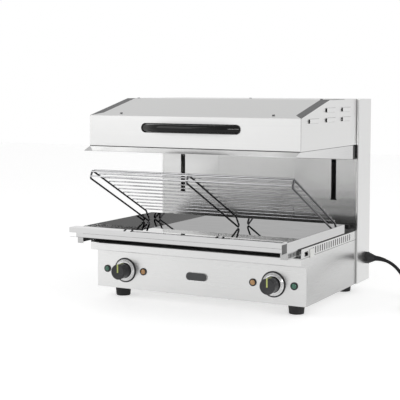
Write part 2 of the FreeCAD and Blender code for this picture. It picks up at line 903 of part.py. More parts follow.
# Carriers: slotted strips under the tray's sides, with a flange that holds the tray
def tray_carriers():
    low = "carrier_z"
    start = "carrier_y"
    height = "tray_z - carrier_z"
    strip = box(("carrier_x - tray_sheet", start, low), ("tray_sheet", "carrier_length", height))
    shelf = box(("carrier_x - carrier_flange", start, "tray_z - tray_sheet"),
                ("carrier_flange", "carrier_length", "tray_sheet"))
    face = box(("carrier_x - carrier_flange", start, low), ("carrier_flange", "tray_sheet", height))
    slits = []
    for index in range(int(SIZES["carrier_slit_count"])):
        slits.append(box(
            ("carrier_x - 2 * tray_sheet", f"{start} + carrier_slit_first + {index} * carrier_slit_pitch",
             "carrier_z + carrier_slit_rise"),
            ("3 * tray_sheet", "carrier_slit_width", "tray_z - carrier_z - 2 * carrier_slit_rise")))
    part(pair(cut(fuse(strip, shelf, face), *slits)), "tray_carriers")


# Rubber buffers on the column's foot that stop the closed tray
def tray_buffers():
    buffer_low = ("buffer_reach - buffer_side / 2", "column_y - buffer_length", "tray_z + buffer_rise")
    part(pair(box(buffer_low, ("buffer_side", "buffer_length", "buffer_side"))), "tray_buffers")


# Wire rack: three closed runners with a row of cross wires lying over their upper lines.
# It is drawn flat about the middle of its rear lower bends, then tilted up about that line.
def bend(reach, y, z, towards, sweep=90):
    """A bend of a runner, swept from one direction in the upright plane."""
    quarter = doc.addObject("Part::Torus", "Bend")
    quarter.setExpression("Radius1", tied("runner_corner"))
    quarter.setExpression("Radius2", tied("runner_radius"))
    quarter.Angle3 = sweep
    across = Vector(1, 0, 0)
    quarter.Placement.Rotation = Rotation(towards, across.cross(towards), across, "XYZ")
    return put(quarter, reach, y, z)


def rear_leg(reach):
    """The runner's rear end, which leans forward as it rises."""
    leg = rod("-y", ("0", "0", "0"), "runner_radius", "rack_climb / sin(leg_lean)")
    solid = doc.addObject("Part::Compound", "Leg")
    solid.Links = [leg]
    solid.Placement.Rotation = Rotation(Vector(-1, 0, 0), 1)
    solid.setExpression("Placement.Rotation.Angle", tied("leg_lean"))
    return put(solid, reach, "runner_corner * sin(leg_lean)", "runner_corner * cos(leg_lean)")


def runner(reach):
    far_y, high_z = "-rack_run", "rack_climb"
    lean = value("leg_lean")
    leaning_out = Vector(0, math.sin(math.radians(lean)), math.cos(math.radians(lean)))
    pieces = [
        rod("-y", (reach, "0", "-runner_corner"), "runner_radius", "rack_run"),
        rod("-y", (reach, "-leg_run", "rack_climb + runner_corner"), "runner_radius", "rack_run - leg_run"),
        rod("z", (reach, "-rack_run - runner_corner", "0"), "runner_radius", "rack_climb"),
        rear_leg(reach),
        bend(reach, "0", "0", Vector(0, 0, -1), 180 - lean),
        bend(reach, "-leg_run", high_z, leaning_out, lean),
        bend(reach, far_y, high_z, Vector(0, 0, 1)),
        bend(reach, far_y, "0", Vector(0, -1, 0)),
    ]
    return fuse(*pieces)


def tilted(solid):
    """Puts a flat piece of the rack at its pivot and tilts its front up."""
    solid.Placement.Rotation = Rotation(Vector(-1, 0, 0), value("rack_tilt"))
    solid.setExpression("Placement.Rotation.Angle", tied("rack_tilt"))
    return put(solid, "0", "pivot_y", "pivot_z")


def wire_rack():
    part(tilted(group(*[runner(reach) for reach in ("-rack_reach", "0", "rack_reach")])), "rack_runners")
    length = "2 * rack_reach"
    top_z = "rack_climb + runner_corner + runner_radius + cross_radius"
    wires = []
    for index in range(int(SIZES["cross_count"])):
        step = "(rack_run - leg_run - 2 * cross_inset) / (cross_count - 1)"
        y = f"-leg_run - cross_inset - {index} * {step}"
        wires.append(rod("x", ("-rack_reach", y, top_z), "cross_radius", length))
    for share in (0, 1):
        y = "-rack_run - runner_corner - runner_radius - cross_radius"
        wires.append(rod("x", ("-rack_reach", y, f"{share} * rack_climb"), "cross_radius", length))
    part(tilted(group(*wires)), "rack_cross_wires")


# Column: slotted front plate, folded shell and a vented rear cover
def column():
    body = new_body()
    profile = new_sketch(body, "y", "column_y")
    height = "top_z - sheet - floor_z"
    rectangle(profile, ("sheet - half_column", "floor_z"), "column_width - 2 * sheet", height)
    pad(body, profile, "sheet", reverse=True)
    slots = new_sketch(body, "y", "column_y")
    low, high = "slot_low_z", "slot_high_z"
    for side in ("", "-"):
        middle = f"{side}slot_reach"
        outline(slots, [
            (f"{middle} - slot_foot_width / 2", low),
            (f"{middle} + slot_foot_width / 2", low),
            (f"{middle} + slot_foot_width / 2", "slot_low_z + slot_foot_height"),
            (f"{middle} + slot_width / 2", "slot_low_z + slot_foot_height"),
            (f"{middle} + slot_width / 2", high),
            (f"{middle} - slot_width / 2", high),
            (f"{middle} - slot_width / 2", "slot_low_z + slot_foot_height"),
            (f"{middle} - slot_foot_width / 2", "slot_low_z + slot_foot_height"),
        ])
    pocket(body, slots, "4 * sheet", midplane=True)
    part(body, "column_front")

    right = box(("half_column - sheet", "column_y", "base_z"), ("sheet", "column_depth", "column_height"))
    left = box(("-half_column", "column_y", "base_z"), ("sheet", "column_depth", "column_height"))
    top = wide_box("half_column", "column_y", "top_z - sheet", "column_depth", "sheet")
    hole = rod("-x", ("half_column", "gland_y", "gland_z"), "gland_thread_radius + hole_play", "2 * sheet")
    part(cut(fuse(left, right, top), hole), "column_shell")

    cover = wide_box("half_column - sheet", "cover_y", "floor_z", "sheet", "top_z - sheet - floor_z")
    openings = []
    for x, z in screw_places():
        openings.append(rod("-y", (x, "back_y", z), "screw_radius + hole_play", "cover_inset + 2 * sheet"))
    for index in range(8):
        z = f"base_z + {index} * vent_pitch / 3 + column_height / 2"
        for x in ("-vent_reach - vent_length", "vent_reach"):
            openings.append(box((x, "cover_y", z), ("vent_length", "sheet", "vent_width")))
    part(cut(cover, *openings), "rear_cover")
    screws = [screw("-y", (x, "cover_y + sheet", z)) for x, z in screw_places()]
    tabs = [rod("-z", (x, "panel_y + fascia_return / 2", "base_z"), "screw_head_radius", "screw_head_height")
            for x in ("tab_reach", "-tab_reach")]
    bolts = [foot_bolt(x, y) for x, y in foot_places()]
    part(group(*screws, *tabs, *bolts), "case_fasteners")


def screw_places():
    found = []
    heights = ("base_z + cover_margin", "base_z + column_height / 2 - cover_margin", "top_z - cover_margin")
    for x in ("half_column - cover_margin", "cover_margin - half_column"):
        found += [(x, z) for z in heights]
    return found


def screw(along, start):
    """A small screw: its head stands on the start point, its shank runs along the axis."""
    backward = along[1:] if along.startswith("-") else "-" + along
    head = rod(backward, start, "screw_head_radius", "screw_head_height")
    shank = rod(along, start, "screw_radius", "screw_length")
    return fuse(head, shank)


# Guide rods with stop collars, held by brackets at both ends
def lift_guides():
    reach = "slot_reach"
    bar = rod("z", (reach, "rod_y", "rod_z"), "rod_radius", "rod_length")
    collar = ("collar_radius", "collar_height")
    upper = rod("z", (reach, "rod_y", "carriage_z + carriage_height + stop_gap"), *collar)
    lower = rod("-z", (reach, "rod_y", "carriage_z - lift_travel - stop_gap"), *collar)
    part(pair(fuse(bar, upper, lower)), "guide_rods")
    brackets = []
    for z in ("rod_z", "rod_z + rod_length - bracket_thickness"):
        block = box((f"{reach} - bracket_width / 2", "column_y + sheet", z),
                    ("bracket_width", "cover_y - column_y - sheet", "bracket_thickness"))
        brackets.append(pair(cut(block, rod("z", (reach, "rod_y", z), "rod_radius", "bracket_thickness"))))
    outer_y = "pulley_width / 2 + cheek_gap + cheek_thickness"
    cheeks = []
    for y in (f"rod_y - ({outer_y})", "rod_y + pulley_width / 2 + cheek_gap"):
        cheeks.append(box(("pulley_reach - cheek_width / 2", y, "pulley_z - cheek_width / 2"),
                          ("cheek_width", "cheek_thickness", "top_z - sheet - pulley_z + cheek_width / 2")))
    start, length = f"rod_y - ({outer_y})", f"2 * ({outer_y})"
    roof = box(("pulley_reach - cheek_width / 2", start, "top_z - sheet - cheek_thickness"),
               ("cheek_width", length, "cheek_thickness"))
    spindle = rod("y", ("pulley_reach", start, "pulley_z"), "spindle_radius", length)
    part(group(*brackets, pair(fuse(*cheeks, roof, spindle))), "lift_brackets")


# Carriages on bushes, and the arms that reach through the slots to the hood
def carriages():
    reach = "slot_reach"
    half = "carriage_width / 2"
    block = box((f"{reach} - {half}", f"rod_y - {half}", "carriage_z"),
                ("carriage_width", "carriage_width", "carriage_height"))
    lug = box(("rope_x - lug_margin", "rod_y - lug_depth / 2", "lug_z"),
              (f"{reach} - {half} - rope_x + lug_margin", "lug_depth", "lug_height"))
    bore = rod("z", (reach, "rod_y", "carriage_z"), "bush_radius", "carriage_height")
    part(pair(cut(fuse(block, lug), bore)), "carriages")
    bushes = []
    for z in ("carriage_z", "carriage_z + carriage_height - bush_length"):
        outer = rod("z", (reach, "rod_y", z), "bush_radius", "bush_length")
        inner = rod("z", (reach, "rod_y", z), "rod_radius + rod_clearance", "bush_length")
        bushes.append(pair(cut(outer, inner)))
    part(group(*bushes), "carriage_bushes")

    carriage_y = f"rod_y - {half}"
    web = box((f"{reach} - arm_thickness / 2", "hood_back_y - sheet", "arm_z"),
              ("arm_thickness", f"{carriage_y} - hood_back_y + sheet", "arm_height"))
    plates = []
    for y in ("hood_back_y - sheet - arm_flange_thickness", f"{carriage_y} - arm_flange_thickness"):
        plates.append(box((f"{reach} - arm_flange_width / 2", y, "arm_z"),
                          ("arm_flange_width", "arm_flange_thickness", "arm_height")))
    part(pair(fuse(web, *plates)), "lift_arms")


# Counterweights in channels, hung on ropes that run over pulleys to the carriages
def pulley(reach):
    body = new_body()
    profile = new_sketch(body, "y")
    rim = "pulley_pitch_radius + pulley_rim"
    floor = "pulley_pitch_radius - rope_radius"
    half = "pulley_width / 2"
    outline(profile, [
        ("spindle_radius + spindle_clearance", f"-({half})"),
        (rim, f"-({half})"),
        (rim, f"-({half}) + sheet"),
        (floor, "-rope_radius - hole_play"),
        (floor, "rope_radius + hole_play"),
        (rim, f"{half} - sheet"),
        (rim, half),
        ("spindle_radius + spindle_clearance", half),
    ])
    turned(body, profile)
    body.Placement.Rotation = ALONG["y"]
    return put(body, reach, "rod_y", "pulley_z")


def counterweights():
    for side, sign in (("left", "-"), ("right", "")):
        part(pulley(f"{sign}pulley_reach"), f"pulley_{side}")
    half = "weight_width / 2"
    weight = box((f"weight_x - {half}", "rod_y - weight_depth / 2", "weight_z"),
                 ("weight_width", "weight_depth", "weight_height"))
    eye = rod("z", ("weight_x", "rod_y", "weight_z + weight_height"), "eye_radius", "eye_height")
    solid = fuse(weight, eye)
    part(solid, "counterweight_right")
    part(mirrored(solid), "counterweight_left")

    inner = f"{half} + channel_gap"
    web_y = "rod_y + weight_depth / 2 + channel_gap"
    web = box((f"weight_x - ({inner}) - channel_wall", web_y, "floor_z"),
              (f"2 * ({inner} + channel_wall)", "channel_wall", "channel_height"))
    flanges = []
    for x in (f"weight_x - ({inner}) - channel_wall", f"weight_x + {inner}"):
        flanges.append(box((x, "rod_y", "floor_z"), ("channel_wall", f"{web_y} - rod_y", "channel_height")))
    part(pair(fuse(web, *flanges)), "weight_channels")

    eye_top = "weight_z + weight_height + eye_height"
    lug_top = "lug_z + lug_height"
    hood_side = rod("z", ("rope_x", "rod_y", lug_top), "rope_radius", f"pulley_z - ({lug_top})")
    weight_side = rod("z", ("weight_x", "rod_y", eye_top), "rope_radius", f"pulley_z - ({eye_top})")
    wrap = doc.addObject("Part::Torus", "Wrap")
    wrap.setExpression("Radius1", tied("pulley_pitch_radius"))
    wrap.setExpression("Radius2", tied("rope_radius"))
    wrap.Angle3 = 180
    wrap.Placement.Rotation = ALONG["y"] * Rotation(Vector(0, 0, 1), 180)
    put(wrap, "pulley_reach", "rod_y", "pulley_z")
    part(pair(hood_side), "hood_ropes")
    part(pair(wrap), "rope_wraps")
    part(pair(weight_side), "weight_ropes")


# Hood shell: front, sides with louvres, sloped lid, edge strips and back
def hood_front():
    body = new_body()
    face = new_sketch(body, "y", "hood_front_y")
    rectangle(face, ("-half_hood", "hood_z"), "hood_width", "hood_front_height - sheet")
    pad(body, face, "sheet", reverse=True)
    fold = new_sketch(body, "x")
    start, end = "hood_front_y + sheet", "hood_front_y + hood_return"
    outline(fold, [
        (start, "hood_edge_z - sheet + sheet * lid_slope"),
        (end, "hood_edge_z - sheet + hood_return * lid_slope"),
        (end, "hood_edge_z - 2 * sheet + hood_return * lid_slope"),
        (start, "hood_edge_z - 2 * sheet + sheet * lid_slope"),
    ])
    pad(body, fold, "hood_width - 2 * sheet", midplane=True)
    holes = new_sketch(body, "y", "hood_front_y")
    for side in ("", "-"):
        circle(holes, (f"{side}handle_screw_x", "handle_z"), "screw_radius + hole_play")
    pocket(body, holes, "4 * sheet", midplane=True)
    part(cut(body, slope_holes()), "hood_front")


def lid_profile(back_y):
    """A bent sheet that climbs from the hood's front edge and runs flat to the back."""
    return [
        ("hood_front_y", "hood_edge_z"),
        ("slope_end_y", "top_z"),
        (back_y, "top_z"),
        (back_y, "top_z - sheet"),
        ("slope_end_y", "top_z - sheet"),
        ("hood_front_y", "hood_edge_z - sheet"),
    ]


def hood_lid():
    lid = new_body()
    profile = new_sketch(lid, "x")
    outline(profile, lid_profile("hood_back_y"))
    pad(lid, profile, "hood_width - 2 * strip_width", midplane=True)
    wing = wide_box("half_hood", "strip_end_y", "top_z - sheet", "hood_back_y - strip_end_y", "sheet")
    tongues = pair(overlap(edge_strip(), lid_corner()))
    holes = [rod("-z", place, "screw_radius + hole_play", "screw_length") for place in flat_screws()]
    part(cut(fuse(lid, wing, tongues), slope_holes(), *holes), "hood_lid")
    part(pair(cut(edge_strip(), lid_corner())), "hood_edge_strips")


def flat_screws():
    """Where the screws stand on the flat part of the lid: one in the middle, one at each side."""
    side_y = "slope_end_y + side_screw_back"
    return [
        ("0", "top_screw_y", "top_z"),
        ("side_screw_reach", side_y, "top_z"),
        ("-side_screw_reach", side_y, "top_z"),
    ]


def edge_strip():
    """A strip along the lid's side edge, still square at its front end."""
    strip = new_body()
    edge = new_sketch(strip, "x", "half_hood - strip_width")
    outline(edge, lid_profile("strip_end_y"))
    pad(strip, edge, "strip_width")
    return strip


def lid_corner():
    """The wedge that the lid keeps in front of a strip's mitred end."""
    wedge = new_body()
    profile = new_sketch(wedge, "z", "hood_edge_z - 2 * sheet")
    outline(profile, [
        ("half_hood - strip_width", "hood_front_y"),
        ("half_hood", "hood_front_y"),
        ("half_hood - strip_width", "hood_front_y + strip_mitre"),
    ])
    pad(wedge, profile, "top_z - hood_edge_z + 2 * sheet")
    return wedge


def leaning(piece):
    """Puts a piece, drawn upright at the origin, on the lid's slope near its front edge."""
    solid = doc.addObject("Part::Compound", "Leaning")
    solid.Links = [piece]
    solid.Placement.Rotation = Rotation(Vector(1, 0, 0), 1)
    solid.setExpression("Placement.Rotation.Angle", tied("atan(lid_slope)"))
    height = "hood_edge_z + lid_screw_front * lid_slope"
    return put(solid, "lid_screw_reach", "hood_front_y + lid_screw_front", height)


def slope_holes():
    return pair(leaning(rod("-z", ("0", "0", "0"), "screw_radius + hole_play", "screw_length")))


def louvre(y, z):
    """A pressed tab that stands out at its front end and runs flush at its rear."""
    body = new_body()
    profile = new_sketch(body, "z", f"{z} - louvre_height / 2")
    outline(profile, [
        ("half_hood - 4 * sheet", y),
        ("half_hood + louvre_proud", y),
        ("half_hood - sheet / 2", f"{y} + louvre_length"),
        ("half_hood - 4 * sheet", f"{y} + louvre_length"),
    ])
    tab = pad(body, profile, "louvre_height")
    rounded(body, tab, "louvre_round", lambda edge, middle: (
        edge.Length > value("louvre_length") and middle.x > value("half_hood")
    ))
    return body


def louvre_mouth(y, z):
    """The hollow under a tab, through the panel and open at the tab's front end."""
    body = new_body()
    profile = new_sketch(body, "z", f"{z} - louvre_height / 2 + louvre_wall")
    outline(profile, [
        ("half_hood - 2 * sheet", y),
        ("half_hood", y),
        ("half_hood", f"{y} - sheet"),
        ("half_hood + louvre_proud - louvre_wall", f"{y} - sheet"),
        ("half_hood - 2 * sheet", f"{y} + louvre_length"),
    ])
    pad(body, profile, "louvre_height - 2 * louvre_wall")
    return body


def hood_sides():
    panel = new_body()
    profile = new_sketch(panel, "x", "half_hood - sheet")
    outline(profile, [
        ("hood_front_y + sheet", "hood_z"),
        ("hood_front_y + sheet", "hood_edge_z - sheet + sheet * lid_slope"),
        ("slope_end_y", "top_z - sheet"),
        ("hood_back_y", "top_z - sheet"),
        ("hood_back_y", "hood_z"),
    ])
    pad(panel, profile, "sheet")
    tab_places = [(index, "louvre_low") for index in range(3)]
    tab_places += [(index, "louvre_high") for index in (1, 2)]
    tabs, mouths = [], []
    for index, height in tab_places:
        y = f"front_y + louvre_first + {index} * louvre_pitch"
        z = f"hood_z + {height}"
        tabs.append(louvre(y, z))
        mouths.append(louvre_mouth(y, z))
    outside = box(("half_hood - sheet", "front_y", "hood_z"), ("10 * sheet", "base_depth", "column_height"))
    raised = [overlap(tab, outside) for tab in tabs]
    part(pair(cut(fuse(panel, *raised), *mouths)), "hood_sides")


def hood_back():
    plate = wide_box("half_hood - sheet", "hood_back_y - sheet", "hood_z", "sheet", "top_z - sheet - hood_z")
    slots = []
    slot_size = ("arm_thickness + 2 * hole_play", "3 * sheet", "arm_height + 2 * hole_play")
    for x in ("slot_reach", "-slot_reach"):
        low_corner = (f"{x} - arm_thickness / 2 - hole_play", "hood_back_y - 2 * sheet", "arm_z - hole_play")
        slots.append(box(low_corner, slot_size))
    part(cut(plate, *slots), "hood_back")


# Reflector: a ceiling plate over the elements, and a polished skirt with a flared front lip
def reflector():
    width = "2 * (half_hood - sheet)"
    start = "hood_front_y + sheet"
    front = new_body()
    lip = new_sketch(front, "x")
    outline(lip, [
        (start, "ceiling_z"),
        (start, "hood_z"),
        ("skirt_lip_y", "skirt_lip_z + sheet"),
        ("skirt_lip_y", "skirt_lip_z"),
        (f"{start} + sheet", "hood_z - sheet"),
        (f"{start} + sheet", "ceiling_z"),
    ])
    pad(front, lip, width, midplane=True)
    side = new_body()
    profile = new_sketch(side, "x", "half_hood - 2 * sheet")
    outline(profile, [
        (start, "ceiling_z"),
        (start, "hood_z"),
        ("skirt_lip_y", "skirt_lip_z + sheet"),
        ("skirt_lip_y", "skirt_lip_z"),
        ("skirt_back_y", "skirt_back_z"),
        ("skirt_back_y", "ceiling_z"),
    ])
    pad(side, profile, "sheet")
    height = "ceiling_z - skirt_back_z"
    back = wide_box("half_hood - sheet", "skirt_back_y - sheet", "skirt_back_z", "sheet", height)
    part(fuse(front, side, mirrored(side), back), "reflector_skirt")
    cap = box(("half_hood - sheet - cap_thickness", "skirt_back_y", "skirt_back_z"),
              ("cap_thickness", "column_y - skirt_back_y - cap_gap", "cap_height"))
    part(pair(cap), "skirt_end_caps")
    plate = wide_box("half_hood - sheet", start, "ceiling_z", "skirt_back_y - hood_front_y - sheet", "sheet")
    holes = []
    for x in ("element_inner", "-element_inner"):
        for y in element_legs():
            holes.append(rod("z", (x, y, "ceiling_z - sheet"), "element_radius + hole_play", "3 * sheet"))
    part(cut(plate, *holes), "reflector_plate")


def element_legs():
    found = []
    for index in range(2):
        start = f"front_y + element_first + {index} * element_pitch"
        found += [start, f"{start} + 2 * element_bend"]
    return found


def element(start):
    """A hairpin heater: down through the ceiling, out to the side, round and back."""
    y, bend, turn = value(start), value("element_bend"), value("element_turn")
    low, high = value("element_z"), value("element_z + element_rise")
    inner, outer = value("element_inner"), value("element_reach - element_bend")
    half = turn * math.sqrt(0.5)
    near_leg = Part.Arc(
        Vector(inner, y, low + turn),
        Vector(inner + turn - half, y, low + turn - half),
        Vector(inner + turn, y, low))
    far_y = y + 2 * bend
    far_leg = Part.Arc(
        Vector(inner + turn, far_y, low),
        Vector(inner + turn - half, far_y, low + turn - half),
        Vector(inner, far_y, low + turn))
    around = Part.Arc(Vector(outer, y, low), Vector(outer + bend, y + bend, low), Vector(outer, far_y, low))
    route = Part.Wire([
        Part.LineSegment(Vector(inner, y, high), Vector(inner, y, low + turn)).toShape(),
        near_leg.toShape(),
        Part.LineSegment(Vector(inner + turn, y, low), Vector(outer, y, low)).toShape(),
        around.toShape(),
        Part.LineSegment(Vector(outer, far_y, low), Vector(inner + turn, far_y, low)).toShape(),
        far_leg.toShape(),
        Part.LineSegment(Vector(inner, far_y, low + turn), Vector(inner, far_y, high)).toShape(),
    ])
    return tube(route, value("element_radius"))


def tube(route, radius):
    """A round tube along a wire of tangent lines and arcs."""
    start = route.Edges[0]
    point = start.valueAt(start.FirstParameter)
    direction = start.tangentAt(start.FirstParameter)
    ring = Part.Wire([Part.Circle(point, direction, radius).toShape()])
    shell = Part.BRepOffsetAPI.MakePipeShell(route)
    shell.add(ring)
    shell.build()
    shell.makeSolid()
    solid = Part.Solid(shell.shape()) if shell.shape().ShapeType != "Solid" else shell.shape()
    feature = doc.addObject("Part::Feature", "Tube")
    feature.Shape = solid
    return feature


def heating():
    heaters = [element(f"front_y + element_first + {index} * element_pitch") for index in range(2)]
    part(group(*[pair(heater) for heater in heaters]), "heating_elements")
    bar_z = "element_z - element_radius - hanger_thickness"
    start = "front_y + element_first - hanger_margin"
    length = "element_pitch + 2 * element_bend + 2 * hanger_margin"
    left = "hanger_reach - hanger_width / 2"
    bar = box((left, start, bar_z), ("hanger_width", length, "hanger_thickness"))
    posts = [box((left, y, bar_z), ("hanger_width", "hanger_thickness", f"ceiling_z - ({bar_z})"))
             for y in (start, f"{start} + {length} - hanger_thickness")]
    part(pair(fuse(bar, *posts)), "element_hangers")
    pad_low = ("element_inner + pad_margin", "hood_front_y + pad_margin", "ceiling_z + sheet + pad_gap")
    pad_size = ("half_hood - element_inner - 2 * pad_margin", "skirt_back_y - hood_front_y - 2 * pad_margin",
                "pad_thickness")
    part(pair(box(pad_low, pad_size)), "insulation_pads")
    terminals = box(("vent_reach + vent_length", "column_y + sheet", "floor_z"),
                    ("terminal_length", "terminal_depth", "terminal_height"))
    part(pair(terminals), "terminal_blocks")


# Bow handle with a thin rim behind it on the hood front
def eased_wire(points):
    """Straight runs joined by tangent arcs as large as their runs allow."""
    points = [Vector(*point) for point in points]
    edges = []
    here = points[0]
    for before, corner, after in zip(points, points[1:], points[2:]):
        back, ahead = (before - corner), (after - corner)
        trim = 0.45 * min(back.Length, ahead.Length)
        back.normalize()
        ahead.normalize()
        half_turn = (math.pi - back.getAngle(ahead)) / 2
        radius = trim / math.tan(half_turn)
        print("bend radius", round(radius, 1), "turn", round(math.degrees(2 * half_turn), 1))
        bisector = (back + ahead).normalize()
        middle = corner + bisector * (radius / math.cos(half_turn) - radius)
        start, end = corner + back * trim, corner + ahead * trim
        edges += [Part.LineSegment(here, start).toShape(), Part.Arc(start, middle, end).toShape()]
        here = end
    edges.append(Part.LineSegment(here, points[-1]).toShape())
    return Part.Wire(edges)


def handle():
    front, z = value("hood_front_y"), value("handle_z")
    depth = value("handle_thickness")
    foot = Vector(value("handle_foot_x"), front, z)
    shoulder = Vector(value("handle_length / 2 - shoulder_inset"), front - value("shoulder_reach"), z)
    crown = Vector(0, front - value("handle_projection") + depth / 2, z)
    start = foot + (foot - shoulder).normalize() * depth
    right = [start, shoulder]
    left = [Vector(-point.x, point.y, point.z) for point in reversed(right)]
    route = eased_wire(right + [crown] + left)
    ellipse = Part.Ellipse(start, value("grip_height") / 2, depth / 2)
    ellipse.Axis = shoulder - foot
    ellipse.XAxis = Vector(0, 0, 1)
    shell = Part.BRepOffsetAPI.MakePipeShell(route)
    shell.add(Part.Wire([ellipse.toShape()]))
    shell.build()
    shell.makeSolid()
    bow = doc.addObject("Part::Feature", "Bow")
    bow.Shape = shell.shape()
    low_z = "handle_z - handle_height"
    behind = wide_box("handle_length", "hood_front_y", low_z, "hood_return", "2 * handle_height")
    hole = ("handle_screw_x", "hood_front_y", "handle_z")
    holes = pair(rod("-y", hole, "screw_radius + hole_play", "screw_length"))
    part(cut(bow, behind, holes), "handle")
    end_x = "(handle_length - handle_height) / 2"
    outer = pill("handle_height / 2", end_x)
    part(cut(outer, pill("handle_height / 2 - rim_width", end_x), bow), "handle_rim")


def pill(radius, end_x):
    """A flat plate with round ends, standing on the hood front behind the handle."""
    low_y = "hood_front_y - rim_thickness"
    middle = wide_box(end_x, low_y, f"handle_z - ({radius})", "rim_thickness", f"2 * ({radius})")
    ends = [rod("y", (x, low_y, "handle_z"), radius, "rim_thickness") for x in (end_x, f"-({end_x})")]
    return fuse(middle, *ends)


def hood_screws():
    flat = [screw("-z", place) for place in flat_screws()]
    behind = screw("-y", ("handle_screw_x", "hood_front_y + sheet", "handle_z"))
    sloped = leaning(screw("-z", ("0", "0", "0")))
    part(group(*flat, pair(behind), pair(sloped)), "hood_screws")


# Strain relief on the column's side, the free mains cord, its stored coil and the plug
CORD_ROUTE = [
    (326, 262.25, 90.5),
    (346, 262.25, 90.5),
    (382, 255, 78),
    (416, 236, 50),
    (444, 204, 21),
    (466, 146, 4.5),
    (466, 92, 4.5),
]


def coil_point(turn, start):
    """The coil's line after some turns: wound inwards, lifted one layer, wound out on top."""
    radius, pitch = value("coil_radius"), value("coil_pitch")
    inward, climb = 2, 0.5
    if turn <= inward:
        reach, lift = radius + pitch * (1 - turn), 0
    elif turn <= inward + climb:
        share = (turn - inward) / climb
        reach = radius - pitch - pitch * climb * share * (1 - share)
        lift = pitch * share * share * (3 - 2 * share)
    else:
        reach, lift = radius - pitch + pitch * (turn - inward - climb), pitch
    angle = math.pi + 2 * math.pi * turn
    outer = radius + pitch
    return start + Vector(outer + reach * math.cos(angle), reach * math.sin(angle), lift)


def biarc(first, heading, last, final_heading):
    """Two tangent arcs between two points with given headings."""
    step = last - first
    both = heading + final_heading
    a = 2 * (1 - heading.dot(final_heading))
    b = 2 * step.dot(both)
    c = -step.dot(step)
    reach = (-b + math.sqrt(b * b - 4 * a * c)) / (2 * a)
    apex_first, apex_last = first + heading * reach, last - final_heading * reach
    joint = (apex_first + apex_last) * 0.5
    arcs = []
    for start, apex, end in ((first, apex_first, joint), (joint, apex_last, last)):
        lean = math.cos((apex - start).getAngle(end - start))
        middle = (start + end + apex * (2 * lean)) * (1 / (2 * (1 + lean)))
        arcs.append(Part.Arc(start, middle, end).toShape())
    return arcs


def coil_wire():
    turns, per_turn, ahead = 4.5, 4, 0.001
    straight = 2 * value("cord_radius")
    forward = Vector(0, -1, 0)
    entry = Vector(*CORD_ROUTE[-1])
    start = entry + forward * straight
    edges = [Part.LineSegment(entry, start).toShape()]
    here, heading = start, forward
    count = int(turns * per_turn)
    for index in range(1, count + 1):
        turn = index / per_turn
        there = coil_point(turn, start)
        if index == count:
            next_heading = Vector(0, 1, 0)
        else:
            next_heading = (coil_point(turn + ahead, start) - coil_point(turn - ahead, start)).normalize()
        edges += biarc(here, heading, there, next_heading)
        here, heading = there, next_heading
    edges.append(Part.LineSegment(here, here + heading * straight).toShape())
    return Part.Wire(edges)


def least_gap(wire, radius):
    """The smallest gap between stretches of a tube that are over half a turn apart along it."""
    points = wire.discretize(Distance=3)
    apart = int(math.pi * value("coil_radius") / 3)
    nearest = min(
        (points[low] - points[high]).Length
        for low in range(len(points))
        for high in range(low + apart, len(points))
    )
    return nearest - 2 * radius


def plug(entry):
    """A round plug with a ribbed relief, cut flat where it lies on the counter."""
    body = new_body()
    profile = new_sketch(body, "y")
    full = "relief_length + plug_length"
    outline(profile, [
        ("0", "0"),
        ("relief_radius", "0"),
        ("relief_end_radius", "relief_length"),
        ("plug_radius - 5", "relief_length"),
        ("plug_radius - 2", f"{full} - 12"),
        ("plug_radius", f"{full} - 10"),
        ("plug_radius", full),
        ("0", full),
    ])
    turned(body, profile)
    body.Placement.Rotation = ALONG["y"]
    put(body, *entry)
    x, y, z = entry
    above = box((f"{x} - plug_radius", y, "0"), ("2 * plug_radius", full, f"{z} + plug_radius"))
    part(overlap(body, above), "mains_plug")
    face_y = f"{y} + {full}"
    pins = []
    for side in ("-", "+"):
        pins.append(rod("y", (f"{x} {side} pin_reach", face_y, z), "pin_radius", "pin_length"))
    part(group(*pins), "plug_pins")


def mains_lead():
    nut = hexagon("x", ("half_column", "gland_y", "gland_z"), "gland_radius", "gland_nut_length")
    dome = cone("x", ("half_column + gland_nut_length", "gland_y", "gland_z"), "gland_radius - sheet",
                "gland_end_radius", "gland_dome_length")
    thread = rod("-x", ("half_column", "gland_y", "gland_z"), "gland_thread_radius", "gland_thread_length")
    part(fuse(nut, dome, thread), "cord_gland")
    radius = value("cord_radius")
    for name, wire in (("mains_cord", eased_wire(CORD_ROUTE)), ("cord_coil", coil_wire())):
        solid = part(tube(wire, radius), name)
        expected = math.pi * radius ** 2 * wire.Length
        print(name, "length", round(wire.Length), "volume share", round(solid.Shape.Volume / expected, 4))
        print(name, "least gap to itself", round(least_gap(wire, radius), 2))
    end = wire.Edges[-1].Vertexes[-1].Point
    plug([str(round(number, 6)) for number in end])


for make in (
    front_fascia, side_panels, slotted_rails, bottom_plate, base_deck, tray_glides, feet, badge_plate,
    dials, knobs, regulators, lamps, drip_tray, tray_carriers, tray_buffers, wire_rack, column,
    lift_guides, carriages, counterweights, hood_front, hood_lid, hood_sides, hood_back, reflector,
    heating, handle, hood_screws, mains_lead,
):
    make()
doc.recompute()

# Nothing is written until every object and every sub-part is sound
for item in doc.Objects:
    if "Invalid" in item.State or "Error" in item.State:
        raise RuntimeError(f"{item.Name} ({item.Label}) is {item.State}")
for item in parts:
    if item.Shape.isNull() or not item.Shape.isValid() or not item.Shape.Solids:
        raise RuntimeError(f"{item.Label} has no valid solid")
os.makedirs("parts", exist_ok=True)
for item in parts:
    item.Shape.exportStep(f"parts/{item.Label}.step")
    print(item.Label, len(item.Shape.Solids), round(item.Shape.Volume))
print(len(parts), "sub-parts")
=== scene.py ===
# %% [markdown]
# # Dressing a salamander grill
# A salamander is a small open grill that stands on a counter. Its hood holds the heating
# elements and slides up and down on a column. The model arrives with every sheet, wire and
# screw already in place, so this lesson adds what a camera notices: finishes, light, and the
# few rounded pieces that deserve a finer mesh.

